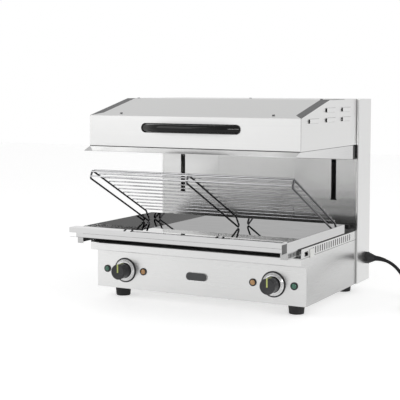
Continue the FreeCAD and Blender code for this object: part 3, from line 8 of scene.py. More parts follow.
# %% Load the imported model
import bmesh
import bpy
import json
import math
from mathutils import Matrix, Vector
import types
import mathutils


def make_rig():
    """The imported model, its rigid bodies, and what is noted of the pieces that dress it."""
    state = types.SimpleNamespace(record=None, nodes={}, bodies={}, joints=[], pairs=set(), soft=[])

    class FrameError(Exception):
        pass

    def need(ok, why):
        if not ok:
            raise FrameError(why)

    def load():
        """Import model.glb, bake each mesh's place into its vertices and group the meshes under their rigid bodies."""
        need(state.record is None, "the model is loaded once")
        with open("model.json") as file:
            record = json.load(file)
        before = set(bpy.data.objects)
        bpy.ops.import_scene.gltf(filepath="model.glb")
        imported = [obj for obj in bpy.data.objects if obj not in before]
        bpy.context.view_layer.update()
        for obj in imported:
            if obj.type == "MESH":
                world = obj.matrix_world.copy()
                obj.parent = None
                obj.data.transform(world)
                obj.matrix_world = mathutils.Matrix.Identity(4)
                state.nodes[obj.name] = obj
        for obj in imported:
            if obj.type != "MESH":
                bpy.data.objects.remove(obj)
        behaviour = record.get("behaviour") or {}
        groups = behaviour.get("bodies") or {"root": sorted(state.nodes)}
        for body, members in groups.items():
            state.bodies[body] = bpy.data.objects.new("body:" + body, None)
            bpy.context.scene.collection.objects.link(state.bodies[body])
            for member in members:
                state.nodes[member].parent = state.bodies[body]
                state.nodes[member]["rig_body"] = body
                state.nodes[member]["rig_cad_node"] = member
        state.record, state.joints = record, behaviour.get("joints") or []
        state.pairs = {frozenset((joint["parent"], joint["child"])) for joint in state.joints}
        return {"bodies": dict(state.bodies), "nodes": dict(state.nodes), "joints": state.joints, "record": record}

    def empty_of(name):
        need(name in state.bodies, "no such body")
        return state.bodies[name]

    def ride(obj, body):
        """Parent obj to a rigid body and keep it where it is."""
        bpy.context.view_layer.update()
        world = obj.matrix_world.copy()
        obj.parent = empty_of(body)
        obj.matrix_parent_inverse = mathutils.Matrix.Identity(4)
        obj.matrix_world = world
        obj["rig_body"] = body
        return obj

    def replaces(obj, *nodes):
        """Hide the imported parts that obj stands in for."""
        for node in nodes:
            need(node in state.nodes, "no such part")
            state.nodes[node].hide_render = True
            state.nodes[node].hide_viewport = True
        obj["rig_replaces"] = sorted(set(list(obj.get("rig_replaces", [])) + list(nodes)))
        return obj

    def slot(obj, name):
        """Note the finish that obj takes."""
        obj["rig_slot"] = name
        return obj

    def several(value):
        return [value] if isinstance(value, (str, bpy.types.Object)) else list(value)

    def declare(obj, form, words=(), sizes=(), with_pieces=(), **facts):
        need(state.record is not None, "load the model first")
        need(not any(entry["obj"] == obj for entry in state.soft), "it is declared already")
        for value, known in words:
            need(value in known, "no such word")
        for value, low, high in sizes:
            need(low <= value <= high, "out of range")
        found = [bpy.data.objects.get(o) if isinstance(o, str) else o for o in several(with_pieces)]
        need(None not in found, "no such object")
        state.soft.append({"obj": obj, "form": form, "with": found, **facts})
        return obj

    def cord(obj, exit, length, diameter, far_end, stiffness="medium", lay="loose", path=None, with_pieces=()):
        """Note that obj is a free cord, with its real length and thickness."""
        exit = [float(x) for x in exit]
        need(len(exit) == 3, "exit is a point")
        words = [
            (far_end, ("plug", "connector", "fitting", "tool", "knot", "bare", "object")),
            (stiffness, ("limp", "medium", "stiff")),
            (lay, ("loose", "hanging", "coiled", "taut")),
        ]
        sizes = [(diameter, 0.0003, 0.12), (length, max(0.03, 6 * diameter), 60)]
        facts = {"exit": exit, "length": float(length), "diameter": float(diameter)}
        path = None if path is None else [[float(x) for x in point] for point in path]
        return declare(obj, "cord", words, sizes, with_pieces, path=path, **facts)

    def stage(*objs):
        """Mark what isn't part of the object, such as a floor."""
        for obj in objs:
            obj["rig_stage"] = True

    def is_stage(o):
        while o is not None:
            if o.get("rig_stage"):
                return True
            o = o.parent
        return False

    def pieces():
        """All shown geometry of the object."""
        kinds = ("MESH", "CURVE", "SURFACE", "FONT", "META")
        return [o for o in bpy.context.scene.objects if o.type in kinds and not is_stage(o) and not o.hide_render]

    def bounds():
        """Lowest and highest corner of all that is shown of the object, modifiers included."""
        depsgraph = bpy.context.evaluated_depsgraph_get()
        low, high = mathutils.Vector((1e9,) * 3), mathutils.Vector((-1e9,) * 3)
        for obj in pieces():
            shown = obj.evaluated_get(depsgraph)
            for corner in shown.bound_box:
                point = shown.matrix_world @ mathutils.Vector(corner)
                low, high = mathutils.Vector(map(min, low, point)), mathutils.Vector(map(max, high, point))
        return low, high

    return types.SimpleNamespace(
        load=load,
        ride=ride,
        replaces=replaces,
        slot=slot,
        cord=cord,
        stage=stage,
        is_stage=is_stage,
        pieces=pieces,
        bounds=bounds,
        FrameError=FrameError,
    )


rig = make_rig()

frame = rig.load()
packed_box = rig.bounds()
print("nodes loaded:", len(frame["nodes"]), "box:", packed_box)

# %% [markdown]
# ## The camera
# The picture was taken from the front and a little to the right, from just above the hood.
# A camera can be aimed at a target, or given its turn and tilt directly. The turn and tilt
# were measured against the straight edges of the grill, so they are written down as they are.

# %% Set the camera
lens = bpy.data.cameras.new("viewpoint")
lens.lens = 95.0
lens.sensor_width = 36.0
lens.shift_x = -0.0025
lens.shift_y = -0.1
camera = bpy.data.objects.new("viewpoint", lens)
bpy.context.scene.collection.objects.link(camera)
turn_right = Matrix.Rotation(math.radians(27.839), 4, "Z")
tilt_down = Matrix.Rotation(math.radians(90 - 3.898), 4, "X")
level = Matrix.Rotation(math.radians(0.116), 4, "Z")
camera.matrix_world = Matrix.Translation((1.2334, -2.4668, 0.5494)) @ turn_right @ tilt_down @ level
bpy.context.scene.camera = camera
print("camera stands", round(camera.location.length, 2), "m away")

# %% [markdown]
# ## The mains lead
# A heavy rubber lead leaves the gland low on the column's side, sags to the counter and runs
# out of the picture. The rest lies in a neat coil with the plug beside it. A hand-drawn tube
# would show corners, so the lead is one smooth curve guided by a few points, and the coil's
# turns are more points of the same curve. Each point carries the lead's radius, because then
# the box that Blender draws round the curve is the box of the tube itself.

# %% Points along the free part of the lead
def metres(x, y, z):
    """Millimetres on the drawing, metres in the scene."""
    return Vector((x, y, z)) / 1000


lead_points = [
    metres(326, 262.25, 90.5),
    metres(346, 262.25, 90.5),
    metres(382, 255, 78),
    metres(416, 236, 50),
    metres(444, 204, 21),
    metres(466, 146, 4.5),
    metres(466, 92, 4.5),
]
gland_mouth = lead_points[0]
print("free part guided by", len(lead_points), "points")

# %% Points round the coil
coil_start = metres(466, 83, 4.5)
lead_points.append(coil_start)
points_per_turn = 16
for count in range(1, int(4.5 * points_per_turn) + 1):
    turn = count / points_per_turn
    if turn <= 2:
        reach, lift = 49 + 9.7 * (1 - turn), 0
    elif turn <= 2.5:
        share = 2 * turn - 4
        reach = 39.3 - 4.85 * share * (1 - share)
        lift = 9.7 * share * share * (3 - 2 * share)
    else:
        reach, lift = 39.3 + 9.7 * (turn - 2.5), 9.7
    angle = math.pi + 2 * math.pi * turn
    lead_points.append(coil_start + metres(58.7 + reach * math.cos(angle), reach * math.sin(angle), lift))
plug_entry = lead_points[-1] + metres(0, 9, 0)
lead_points.append(plug_entry)
print("whole lead guided by", len(lead_points), "points")


# %% Draw the lead as one curve
def smooth_lead(name, points, radius):
    """One smooth curve guided by points, round in section. Each point carries the radius."""
    curve = bpy.data.curves.new(name, "CURVE")
    curve.dimensions = "3D"
    curve.resolution_u = 10
    curve.bevel_depth = 1 if radius else 0
    curve.bevel_resolution = 6
    curve.use_fill_caps = True
    spline = curve.splines.new("NURBS")
    spline.points.add(len(points) - 1)
    for guide, point in zip(spline.points, points):
        guide.co = (*point, 1)
        guide.radius = radius
    spline.order_u = 3
    spline.use_endpoint_u = True
    piece = bpy.data.objects.new(name, curve)
    bpy.context.scene.collection.objects.link(piece)
    return piece


lead_radius = 0.0045
lead = smooth_lead("mains_lead", lead_points, lead_radius)
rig.replaces(lead, "mains_cord", "cord_coil")
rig.ride(lead, "base")
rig.slot(lead, "cord_rubber")
print("lead is", round(2000 * lead_radius), "mm thick")

# %% [markdown]
# The strain relief is a rubber sleeve that stops the lead from kinking at the gland. It must
# follow the lead's own line, so that line is read back from a copy of the curve with no
# thickness, and the sleeve is swept along its first part.


# %% Read the lead's line back
def line_of(points):
    """The points that a smooth curve really passes through."""
    bare = smooth_lead("bare_line", points, 0)
    bare.data.use_fill_caps = False
    mesh = bpy.data.meshes.new_from_object(bare)
    line = [vertex.co.copy() for vertex in mesh.vertices]
    bpy.data.objects.remove(bare)
    bpy.data.meshes.remove(mesh)
    return line


lead_line = line_of(lead_points)
if (lead_line[0] - gland_mouth).length > (lead_line[-1] - gland_mouth).length:
    lead_line.reverse()
lead_length = sum((b - a).length for a, b in zip(lead_line, lead_line[1:]))
print("lead length", round(lead_length, 3), "m")

# %% [markdown]
# ## Two ways to make a round piece
# Knobs, rings, lenses and the plug are all round, so they are turned as on a lathe: a
# half-outline is carried round an axis. The handle and the sleeve are swept instead: one
# cross-section is carried along a line. Both are written once here and used all through.


# %% Turn a piece as on a lathe
def turned(half_outline, centre, towards, steps=72):
    """Carries (radius, height) pairs, in mm, round an axis."""
    mesh = bmesh.new()
    aim = Vector((0, 0, 1)).rotation_difference(Vector(towards)).to_matrix()
    rings = []
    for radius, height in half_outline:
        ring = []
        for step in range(steps if radius else 1):
            angle = 2 * math.pi * step / steps
            spot = metres(radius * math.cos(angle), radius * math.sin(angle), height)
            ring.append(mesh.verts.new(centre + aim @ spot))
        rings.append(ring)
    for low, high in zip(rings, rings[1:]):
        for step in range(steps):
            ahead = (step + 1) % steps
            corners = [low[step % len(low)], low[ahead % len(low)],
                       high[ahead % len(high)], high[step % len(high)]]
            corners = list(dict.fromkeys(corners))
            if len(corners) > 2:
                mesh.faces.new(corners)
    bmesh.ops.remove_doubles(mesh, verts=mesh.verts, dist=1e-6)
    bmesh.ops.recalc_face_normals(mesh, faces=mesh.faces)
    return mesh


# %% Sweep a section along a line
def swept(line, section, sideways):
    """Carries a section along a line. It is a list of (out, up) pairs, or a function of the share."""
    mesh = bmesh.new()
    rings = []
    for index, point in enumerate(line):
        before, after = line[max(index - 1, 0)], line[min(index + 1, len(line) - 1)]
        along = (after - before).normalized()
        up = Vector(sideways)
        out = along.cross(up).normalized()
        pairs = section(index / (len(line) - 1)) if callable(section) else section
        rings.append([mesh.verts.new(point + out * a / 1000 + up * b / 1000) for a, b in pairs])
    for first, second in zip(rings, rings[1:]):
        for step in range(len(first)):
            ahead = (step + 1) % len(first)
            mesh.faces.new([first[step], first[ahead], second[ahead], second[step]])
    mesh.faces.new(rings[0])
    mesh.faces.new(rings[-1])
    bmesh.ops.recalc_face_normals(mesh, faces=mesh.faces)
    return mesh


def round_section(radius, count=28):
    """A round section as a list of (out, up) pairs in mm."""
    angles = [2 * math.pi * step / count for step in range(count)]
    return [(radius * math.cos(angle), radius * math.sin(angle)) for angle in angles]


# %% Join meshes, and keep a finished piece
def joined(parts):
    """Several meshes as one."""
    whole = bmesh.new()
    for part in parts:
        spare = bpy.data.meshes.new("spare")
        part.to_mesh(spare)
        part.free()
        whole.from_mesh(spare)
        bpy.data.meshes.remove(spare)
    return whole


def keep(name, mesh, surface, body, *stands_for, crease=35):
    """Gives a piece its finish and smooth shading, and lets it move with a body."""
    data = bpy.data.meshes.new(name)
    mesh.to_mesh(data)
    mesh.free()
    data.materials.append(surface)
    data.shade_smooth()
    data.set_sharp_from_angle(angle=math.radians(crease))
    piece = bpy.data.objects.new(name, data)
    bpy.context.scene.collection.objects.link(piece)
    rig.ride(piece, body)
    if stands_for:
        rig.replaces(piece, *stands_for)
    return piece


# %% [markdown]
# ## Finishes
# No real surface is one flat colour. Each finish here mixes two close colours with a fine
# grain and slow clouds, and lets the same grain vary the gloss and raise a tiny relief. Sheet
# steel gets a grain stretched into long brush lines, and cast or moulded pieces get an even
# one. Picture files could do this too, but worked-out grain stays sharp at any distance.


# %% Small helper for shader nodes
def add(tree, kind, inputs, **settings):
    """Adds one shader node. An input is either a plain value or another node's output."""
    made = tree.nodes.new(kind)
    for key, setting in settings.items():
        setattr(made, key, setting)
    for key, given in inputs.items():
        if isinstance(given, bpy.types.NodeSocket):
            tree.links.new(given, made.inputs[key])
        else:
            made.inputs[key].default_value = given
    return made


def spread(tree, source, low, high, start=0.3, stop=0.7):
    """Stretches a grain's middle range to run from low to high."""
    ends = {"Value": source, "From Min": start, "From Max": stop, "To Min": low, "To Max": high}
    return add(tree, "ShaderNodeMapRange", ends).outputs["Result"]


# %% One recipe for every plain finish
def finish(name, light, dark, grain, rough, relief=0.0, clouds=6.0, shade=None, **shader_values):
    """A finish from two colours, grain lines per metre on each axis, and a range of roughness.

    A shade (axis, start, stop, factor) paints light and shade: it scales the colour by the factor at start, easing to
    none at stop."""
    material = bpy.data.materials.new(name)
    material.use_nodes = True
    tree = material.node_tree
    shader = tree.nodes["Principled BSDF"]
    place = add(tree, "ShaderNodeTexCoord", {}).outputs["Object"]
    stretched = add(tree, "ShaderNodeMapping", {"Vector": place, "Scale": grain}).outputs["Vector"]
    lines = {"Vector": stretched, "Scale": 1.0, "Detail": 3.0}
    fine = add(tree, "ShaderNodeTexNoise", lines).outputs["Fac"]
    patches = {"Vector": place, "Scale": clouds, "Detail": 2.0}
    slow = add(tree, "ShaderNodeTexNoise", patches).outputs["Fac"]
    both = add(tree, "ShaderNodeMath", {0: fine, 1: slow}, operation="ADD").outputs["Value"]
    share = spread(tree, both, 0.0, 1.0, 0.7, 1.3)
    tones = {"Factor": share, 6: (*dark, 1), 7: (*light, 1)}
    tone = add(tree, "ShaderNodeMix", tones, data_type="RGBA").outputs[2]
    if shade:
        axis, start, stop, factor = shade
        along = add(tree, "ShaderNodeSeparateXYZ", {"Vector": place}).outputs[axis]
        fall = spread(tree, along, factor, 1.0, start, stop)
        shaded = add(tree, "ShaderNodeVectorMath", {0: tone, "Scale": fall}, operation="SCALE")
        tone = shaded.outputs["Vector"]
    tree.links.new(tone, shader.inputs["Base Color"])
    tree.links.new(spread(tree, fine, *rough), shader.inputs["Roughness"])
    if relief:
        bump = add(tree, "ShaderNodeBump", {"Height": fine, "Distance": relief, "Strength": 1.0})
        tree.links.new(bump.outputs["Normal"], shader.inputs["Normal"])
    for key, setting in shader_values.items():
        shader.inputs[key.replace("_", " ")].default_value = setting
    material.diffuse_color = (*light, 1)
    return material


# %% [markdown]
# Brushed sheet is the grill's main face. Its lines run across the front, so the grain is fine
# from top to bottom and long from side to side. On the flat lid the lines are fine from front
# to back instead. Each face has a steel of its own, toned to how bright that face is lit, so
# these tones are painted light. Three of them also carry a soft gradient: painted shade makes
# the base sides and the column darker towards the bottom, and painted light makes the fascia
# lighter towards the left. The tray and the skirt are polished, so their finish is nearly a
# mirror, and the skirt's broad light and dark patches are painted reflections.

# %% Sheet steels
upright_steel = finish("upright_brushed_steel", (0.715, 0.715, 0.710), (0.690, 0.690, 0.687),
                       (3, 3, 1400), (0.29, 0.32), clouds=2, Metallic=1.0)
level_steel = finish("level_brushed_steel", (0.66, 0.66, 0.655), (0.63, 0.63, 0.625),
                     (3, 1400, 3), (0.29, 0.32), clouds=2, Metallic=1.0)
# painted light: the fascia's colour is lighter towards its left end
fascia_steel = finish("fascia_brushed_steel", (0.635, 0.635, 0.632), (0.600, 0.600, 0.597),
                      (3, 3, 1400), (0.27, 0.30), clouds=2, shade=("X", -0.30, 0.05, 1.14), Metallic=1.0)
# painted reflection of the floor: the base sides darken towards the bottom
base_steel = finish("base_side_steel", (0.625, 0.625, 0.622), (0.605, 0.605, 0.602),
                    (3, 3, 1400), (0.25, 0.28), clouds=2, shade=("Z", 0.03, 0.15, 0.80), Metallic=1.0)
# painted shade: the column's front darkens towards the tray
column_steel = finish("column_brushed_steel", (0.66, 0.66, 0.655), (0.60, 0.60, 0.597),
                      (3, 3, 1400), (0.20, 0.26), 0.000002, clouds=2, shade=("Z", 0.17, 0.33, 0.66),
                      Metallic=1.0)
tray_steel = finish("bright_tray_steel", (0.55, 0.55, 0.55), (0.51, 0.51, 0.51),
                    (25, 500, 500), (0.012, 0.030), clouds=3, Metallic=1.0)
# painted reflections: broad light and dark patches on the polished skirt
skirt_reflection_steel = finish("polished_skirt_painted_reflections", (0.84, 0.84, 0.84), (0.42, 0.42, 0.42),
                     (7, 0.5, 0.5), (0.05, 0.10), clouds=0.5, Metallic=1.0)
# painted shade: the carrier steel is darker than the sheets, as under the tray
carrier_shade_steel = finish("carrier_painted_shade_steel", (0.46, 0.46, 0.46), (0.39, 0.39, 0.39),
                       (200, 40, 200), (0.25, 0.35), 0.00001, Metallic=1.0)
print("sheet steels mixed:", len(bpy.data.materials))

# %% [markdown]
# Screws, wires and the painted shade lines are small, so they need more contrast than the sheets
# to be seen. The rack's runners are darker than its cross wires: their dark colour is a painted
# reflection of dim surroundings.

# %% Screw and wire finishes, and painted shade
plain_steel = finish("zinc_plated_steel", (0.62, 0.62, 0.60), (0.50, 0.50, 0.50),
                     (260, 260, 260), (0.30, 0.45), 0.00002, Metallic=1.0)
screw_steel = finish("dark_screw_steel", (0.16, 0.16, 0.165), (0.09, 0.09, 0.095),
                     (500, 500, 500), (0.30, 0.42), 0.00001, Metallic=1.0)
chromed_wire = finish("bright_wire", (0.56, 0.56, 0.57), (0.42, 0.42, 0.43),
                      (500, 500, 500), (0.07, 0.13), 0.000004, Metallic=1.0)
# painted reflection: the runners' dark colour stands for dim surroundings they mirror
runner_dark_reflection_wire = finish("runner_painted_reflection_wire", (0.13, 0.13, 0.135), (0.08, 0.08, 0.085),
                     (500, 500, 500), (0.08, 0.16), 0.000006, Metallic=1.0)
# painted shade: a mid grey for lines along edges, hems and air slots
edge_shade_grey = finish("edge_shade_grey", (0.33, 0.33, 0.33), (0.25, 0.25, 0.25),
                        (400, 60, 400), (0.45, 0.60), Specular_IOR_Level=0.3)
# a dark deck; on the lip's end plate this near-black steel is painted shade
deck_and_shade_steel = finish("dark_deck_and_shade_steel", (0.16, 0.16, 0.16), (0.10, 0.10, 0.10),
                    (3, 900, 3), (0.45, 0.60), 0.00001, Metallic=0.8)
seam_shadow = finish("seam_shadow", (0.030, 0.030, 0.031), (0.018, 0.018, 0.019),
                     (900, 900, 900), (0.70, 0.85), 0.000005, Specular_IOR_Level=0.2)

# %% [markdown]
# The other metals are the heaters' dark oxidised tubes, the spun dial rings, the bronze
# bushes, the iron weights, the aluminium carriages and the plug's brass pins.

# %% Other metals
element_steel = finish("oxidised_element", (0.24, 0.20, 0.17), (0.10, 0.095, 0.10),
                       (300, 300, 300), (0.45, 0.65), 0.00003, clouds=30, Metallic=0.85)
dial_metal = finish("spun_dial_metal", (0.68, 0.68, 0.68), (0.52, 0.52, 0.52),
                    (900, 900, 900), (0.20, 0.30), 0.000004, clouds=60, Metallic=1.0)
bush_bronze = finish("bush_bronze", (0.62, 0.42, 0.20), (0.48, 0.31, 0.14),
                     (900, 900, 120), (0.30, 0.45), 0.00001, Metallic=1.0)
weight_iron = finish("cast_iron_weight", (0.17, 0.17, 0.175), (0.09, 0.09, 0.095),
                     (420, 420, 420), (0.55, 0.75), 0.00012, Metallic=0.6)
carriage_metal = finish("machined_aluminium", (0.72, 0.72, 0.73), (0.60, 0.60, 0.61),
                        (1200, 1200, 60), (0.28, 0.40), 0.00001, Metallic=1.0)
pin_brass = finish("plug_pin_brass", (0.78, 0.68, 0.45), (0.64, 0.52, 0.32),
                   (900, 60, 900), (0.16, 0.28), 0.000006, Metallic=1.0)

# %% [markdown]
# Plastic and rubber take most of their look from gloss: the handle is shiny, the knobs are
# satin and the feet are dull. The lenses and the badge carry a clear coat, which gives them a
# second, sharper shine over their colour.

# %% Plastics, rubbers and the rest
dark_trim = finish("dark_painted_trim", (0.060, 0.060, 0.062), (0.044, 0.044, 0.046),
                   (700, 700, 700), (0.34, 0.46), 0.00001)
black_plastic = finish("black_plastic", (0.030, 0.030, 0.031), (0.018, 0.018, 0.019),
                       (1500, 1500, 1500), (0.36, 0.50), 0.00002, Specular_IOR_Level=0.3)
knob_plastic = finish("graphite_knob", (0.038, 0.038, 0.040), (0.026, 0.026, 0.028),
                      (1400, 1400, 1400), (0.24, 0.34), 0.00001, Specular_IOR_Level=0.35)
pointer_paint = finish("pointer_paint", (0.62, 0.68, 0.22), (0.50, 0.56, 0.15),
                       (900, 900, 900), (0.40, 0.52), 0.00001)
handle_plastic = finish("glossy_handle", (0.008, 0.008, 0.008), (0.004, 0.004, 0.004),
                        (300, 300, 300), (0.08, 0.13), 0.000004, Specular_IOR_Level=0.22)
foot_rubber = finish("foot_rubber", (0.040, 0.040, 0.041), (0.022, 0.022, 0.023),
                     (900, 900, 900), (0.62, 0.80), 0.00005, Specular_IOR_Level=0.3)
cord_rubber = finish("cord_rubber", (0.016, 0.016, 0.017), (0.009, 0.009, 0.010),
                     (1100, 1100, 1100), (0.42, 0.58), 0.00002, Specular_IOR_Level=0.3)
white_polymer = finish("white_glide_polymer", (0.86, 0.86, 0.84), (0.76, 0.76, 0.74),
                       (500, 500, 500), (0.40, 0.52), 0.00001)
pulley_nylon = finish("pulley_nylon", (0.14, 0.14, 0.14), (0.09, 0.09, 0.09),
                      (600, 600, 600), (0.40, 0.55), 0.00002)
mineral_wool = finish("mineral_wool", (0.72, 0.66, 0.48), (0.50, 0.44, 0.30),
                      (700, 120, 1400), (0.90, 1.00), 0.0008, Sheen_Weight=0.3)
regulator_plastic = finish("regulator_plastic", (0.11, 0.11, 0.115), (0.07, 0.07, 0.075),
                           (800, 800, 800), (0.40, 0.55), 0.00002)
badge_face = finish("blank_badge_enamel", (0.020, 0.021, 0.024), (0.012, 0.013, 0.015),
                    (400, 400, 400), (0.14, 0.22), 0.000006, Coat_Weight=0.4)
amber_glass = finish("amber_lens", (0.62, 0.34, 0.12), (0.38, 0.18, 0.06),
                     (700, 700, 700), (0.10, 0.18), 0.00003, Coat_Weight=0.6)
green_glass = finish("green_lens", (0.030, 0.17, 0.105), (0.012, 0.085, 0.052),
                     (700, 700, 700), (0.10, 0.18), 0.00003, Coat_Weight=0.6)
print("finishes mixed:", len(bpy.data.materials))

# %% [markdown]
# ## Dressing the sheets, wires and frames
# Most pieces already have the right shape. They only need a finish, which goes into the
# material places of each piece. A list of finish and names is easier to check by eye than
# sixty separate lines.

# %% Dress the pieces that keep their shape
wardrobe = {
    upright_steel: "hood_front hood_sides hood_back column_shell",
    fascia_steel: "front_fascia",
    base_steel: "side_panels slotted_rails",
    column_steel: "column_front",
    level_steel: "hood_lid bottom_plate",
    deck_and_shade_steel: "base_deck",
    tray_steel: "drip_tray",
    carrier_shade_steel: "tray_carriers",
    skirt_reflection_steel: "reflector_skirt reflector_plate",
    screw_steel: "hood_screws",
    plain_steel: "case_fasteners lift_brackets lift_arms weight_channels guide_rods hood_ropes"
                 " weight_ropes rope_wraps element_hangers rear_cover",
    chromed_wire: "rack_cross_wires",
    runner_dark_reflection_wire: "rack_runners",
    element_steel: "heating_elements",
    dark_trim: "hood_edge_strips",
    # painted shadow: the skirt's end caps are black where a dark gap lies behind the skirt
    black_plastic: "lamp_bodies tray_buffers cord_gland terminal_blocks skirt_end_caps",
    handle_plastic: "handle handle_rim",
    foot_rubber: "feet",
    white_polymer: "tray_glides",
    bush_bronze: "carriage_bushes",
    weight_iron: "counterweight_left counterweight_right",
    carriage_metal: "carriages shaft_left shaft_right",
    pulley_nylon: "pulley_left pulley_right",
    mineral_wool: "insulation_pads",
    regulator_plastic: "regulators",
    badge_face: "badge_plate",
}
for material, names in wardrobe.items():
    for name in names.split():
        for slot in frame["nodes"][name].material_slots:
            slot.material = material
print("pieces dressed:", sum(len(names.split()) for names in wardrobe.values()))

# %% [markdown]
# ## The lead's sleeve and plug
# The sleeve tapers from the gland to the lead, with grooves that let it bend. The plug is a
# round moulded one with a finger grip, and it lies on its flat side on the counter, so the
# points that would sink below the counter are lifted to it.

# %% Sweep the sleeve
def sleeve_section(share):
    """The sleeve's section at a share of its length: a taper with seven grooves."""
    groove = 0.55 if math.sin(share * 2 * math.pi * 7) < -0.3 and share < 0.9 else 0
    return round_section(7.4 - 2.3 * share - groove)


lead.data.materials.append(cord_rubber)
sleeve_length = 0.034
sleeve_line, walked = [gland_mouth], 0
for start, end in zip(lead_line, lead_line[1:]):
    walked += (end - start).length
    if walked > sleeve_length:
        break
    sleeve_line.append(end)
fine_line = []
for start, end in zip(sleeve_line, sleeve_line[1:]):
    fine_line += [start.lerp(end, part / 8) for part in range(8)]
fine_line.append(sleeve_line[-1])
sleeve = keep("lead_sleeve", swept(fine_line, sleeve_section, (0, 1, 0)), cord_rubber, "base", crease=50)
print("sleeve", round(walked * 1000), "mm long")

# %% Turn the plug
plug_outline = [(0, 0), (5.4, 0)]
for rib in range(6):
    low = 3 + 4.6 * rib
    wide = 5.6 + 0.55 * rib
    plug_outline += [(wide, low), (wide, low + 2.2), (wide - 0.9, low + 2.7), (wide - 0.9, low + 4.0)]
plug_length = 72
plug_outline += [(9, 32.5), (10.5, 34), (13.2, 34.6), (14.2, 37), (15.6, 50), (16.4, 58), (17.2, 60.4),
                 (18.6, 62), (19, 63.5), (19, 70.5), (18.4, 71.8), (17.4, plug_length), (0, plug_length)]
plug_mesh = turned(plug_outline, plug_entry, (0, 1, 0), 96)
for vertex in plug_mesh.verts:
    vertex.co.z = max(vertex.co.z, 0.0)
plug = keep("mains_plug_body", plug_mesh, cord_rubber, "base", "mains_plug")
pin = [(0, 0), (2.4, 0), (2.4, 16.6), (2.1, 17.9), (1.3, 18.8), (0, 19)]
pins = [turned(pin, plug_entry + metres(across, plug_length, 0), (0, 1, 0), 32) for across in (-9.5, 9.5)]
pin_pair = keep("plug_pin_pair", joined(pins), pin_brass, "base", "plug_pins")
print("plug", plug_length, "mm long with", len(pins), "pins")
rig.cord(lead, exit=tuple(gland_mouth), length=1.62, diameter=0.009, far_end="plug", stiffness="medium",
        lay="coiled", with_pieces=[sleeve, plug, pin_pair])

# %% [markdown]
# ## Knobs and dials
# Each knob is a slightly flared graphite cup with a yellow-green line that folds over its
# top edge. Behind it sit a spun bright ring with steps and a black base disc. All are turned
# about the shaft, so their shine runs round as on real turned work.

# %% Outlines of the cup, the disc and the ring
knob_reach, control_height = 210, 77
panel_front, knob_back = -153.25, -156.25
forwards = (0, -1, 0)
cup = [(3.2, 0), (18.0, 0), (18.6, 0.6), (18.8, 10), (19.5, 30), (19.8, 33.4), (19.6, 34.7), (18.9, 35.5),
       (17.8, 35.9), (16.4, 36), (15.5, 35.6), (0, 35.4)]
disc = [(5.2, 0), (31.7, 0), (32, 0.4), (32, 1.8), (31.6, 2.3), (30.9, 2.5), (5.2, 2.5), (5.2, 0)]
ring = [(19.9, 2.5), (19.9, 5.6), (20.3, 6.0), (21.8, 6.0), (22.4, 5.8), (23.6, 5.1), (23.9, 5.15),
        (25.4, 4.3), (25.7, 4.35), (27.8, 3.2), (28.4, 2.8), (28.5, 2.5)]
print("knobs", 2 * max(radius for radius, height in cup), "mm across")

# %% Turn both knobs and their dials
both_dials = (("left", -1, (), ()), ("right", 1, ("dial_bases",), ("dial_rings",)))
for side, sign, disc_node, ring_node in both_dials:
    knob_foot = metres(sign * knob_reach, knob_back, control_height)
    keep(f"knob_cup_{side}", turned(cup, knob_foot, forwards, 96), knob_plastic, f"knob_{side}",
         f"knob_{side}", crease=50)
    disc_face = metres(sign * knob_reach, panel_front, control_height)
    keep(f"dial_disc_{side}", turned(disc, disc_face, forwards, 96), black_plastic, "base", *disc_node)
    keep(f"dial_ring_{side}", turned(ring, disc_face, forwards, 96), dial_metal, "base", *ring_node)
print("dials turned, each", 2 * max(radius for radius, height in disc), "mm across")


# %% [markdown]
# The pointer is a thin painted strip. It climbs the knob's face, rolls over the rounded rim
# and runs back along the top, so it is laid along the same half-outline as the cup.

# %% Lay the pointers
path = [(-1.7, 35.4), (15.4, 35.6), (16.4, 36), (17.8, 35.9), (18.9, 35.5), (19.6, 34.7), (19.8, 33.4),
        (19.5, 30), (18.95, 14), (18.8, 9)]
paint_relief = 0.35
for side, sign in (("left", -1), ("right", 1)):
    strip = bmesh.new()
    rows = []
    for index, (up, out) in enumerate(path):
        before, after = path[max(index - 1, 0)], path[min(index + 1, len(path) - 1)]
        step = Vector((after[0] - before[0], after[1] - before[1])).normalized()
        lifted = Vector((up, out)) + Vector((-step.y, step.x)) * paint_relief
        row = []
        for across, (rise, reach) in ((-1.9, (up, out)), (-1.7, lifted), (1.7, lifted), (1.9, (up, out))):
            spot = metres(sign * knob_reach + across, knob_back - reach, control_height + rise)
            row.append(strip.verts.new(spot))
        rows.append(row)
    for first, second in zip(rows, rows[1:]):
        for a, b in ((0, 1), (1, 2), (2, 3)):
            strip.faces.new([first[a], first[b], second[b], second[a]])
    bmesh.ops.recalc_face_normals(strip, faces=strip.faces)
    keep(f"pointer_{side}", strip, pointer_paint, f"knob_{side}", crease=60)
print("pointers laid over", len(path), "rows each")

# %% [markdown]
# ## Signal lamps
# Four small domed lenses show when each half of the grill has power and is heating. A dome
# catches one small bright spot from the window, which a flat disc never does.

# %% Turn the lenses
dome = [(6.55, 0), (6.55, 2.4), (6.3, 3.0), (5.6, 3.6), (4.5, 4.05), (3.0, 4.35), (1.4, 4.48), (0, 4.5)]
for colour, reach, glass in (("amber", 155.5, amber_glass), ("green", 264.5, green_glass)):
    centres = [metres(across, panel_front, control_height) for across in (-reach, reach)]
    domes = [turned(dome, centre, forwards, 48) for centre in centres]
    keep(f"{colour}_domes", joined(domes), glass, "base", f"{colour}_lenses", crease=60)
    print(colour, "lenses stand", reach, "mm from the middle")

# %% [markdown]
# ## Seams, liners and other thin parts
# Where two sheets meet, shade falls into the gap as a thin dark line, and a picture without
# those lines looks like one block. Each line is painted shadow on a real narrow strip, because
# a strip also catches light on its edges. One helper makes a strip with bevelled edges from two
# corners, and another gives the corners for a strip on the right and its mirror image on the left.


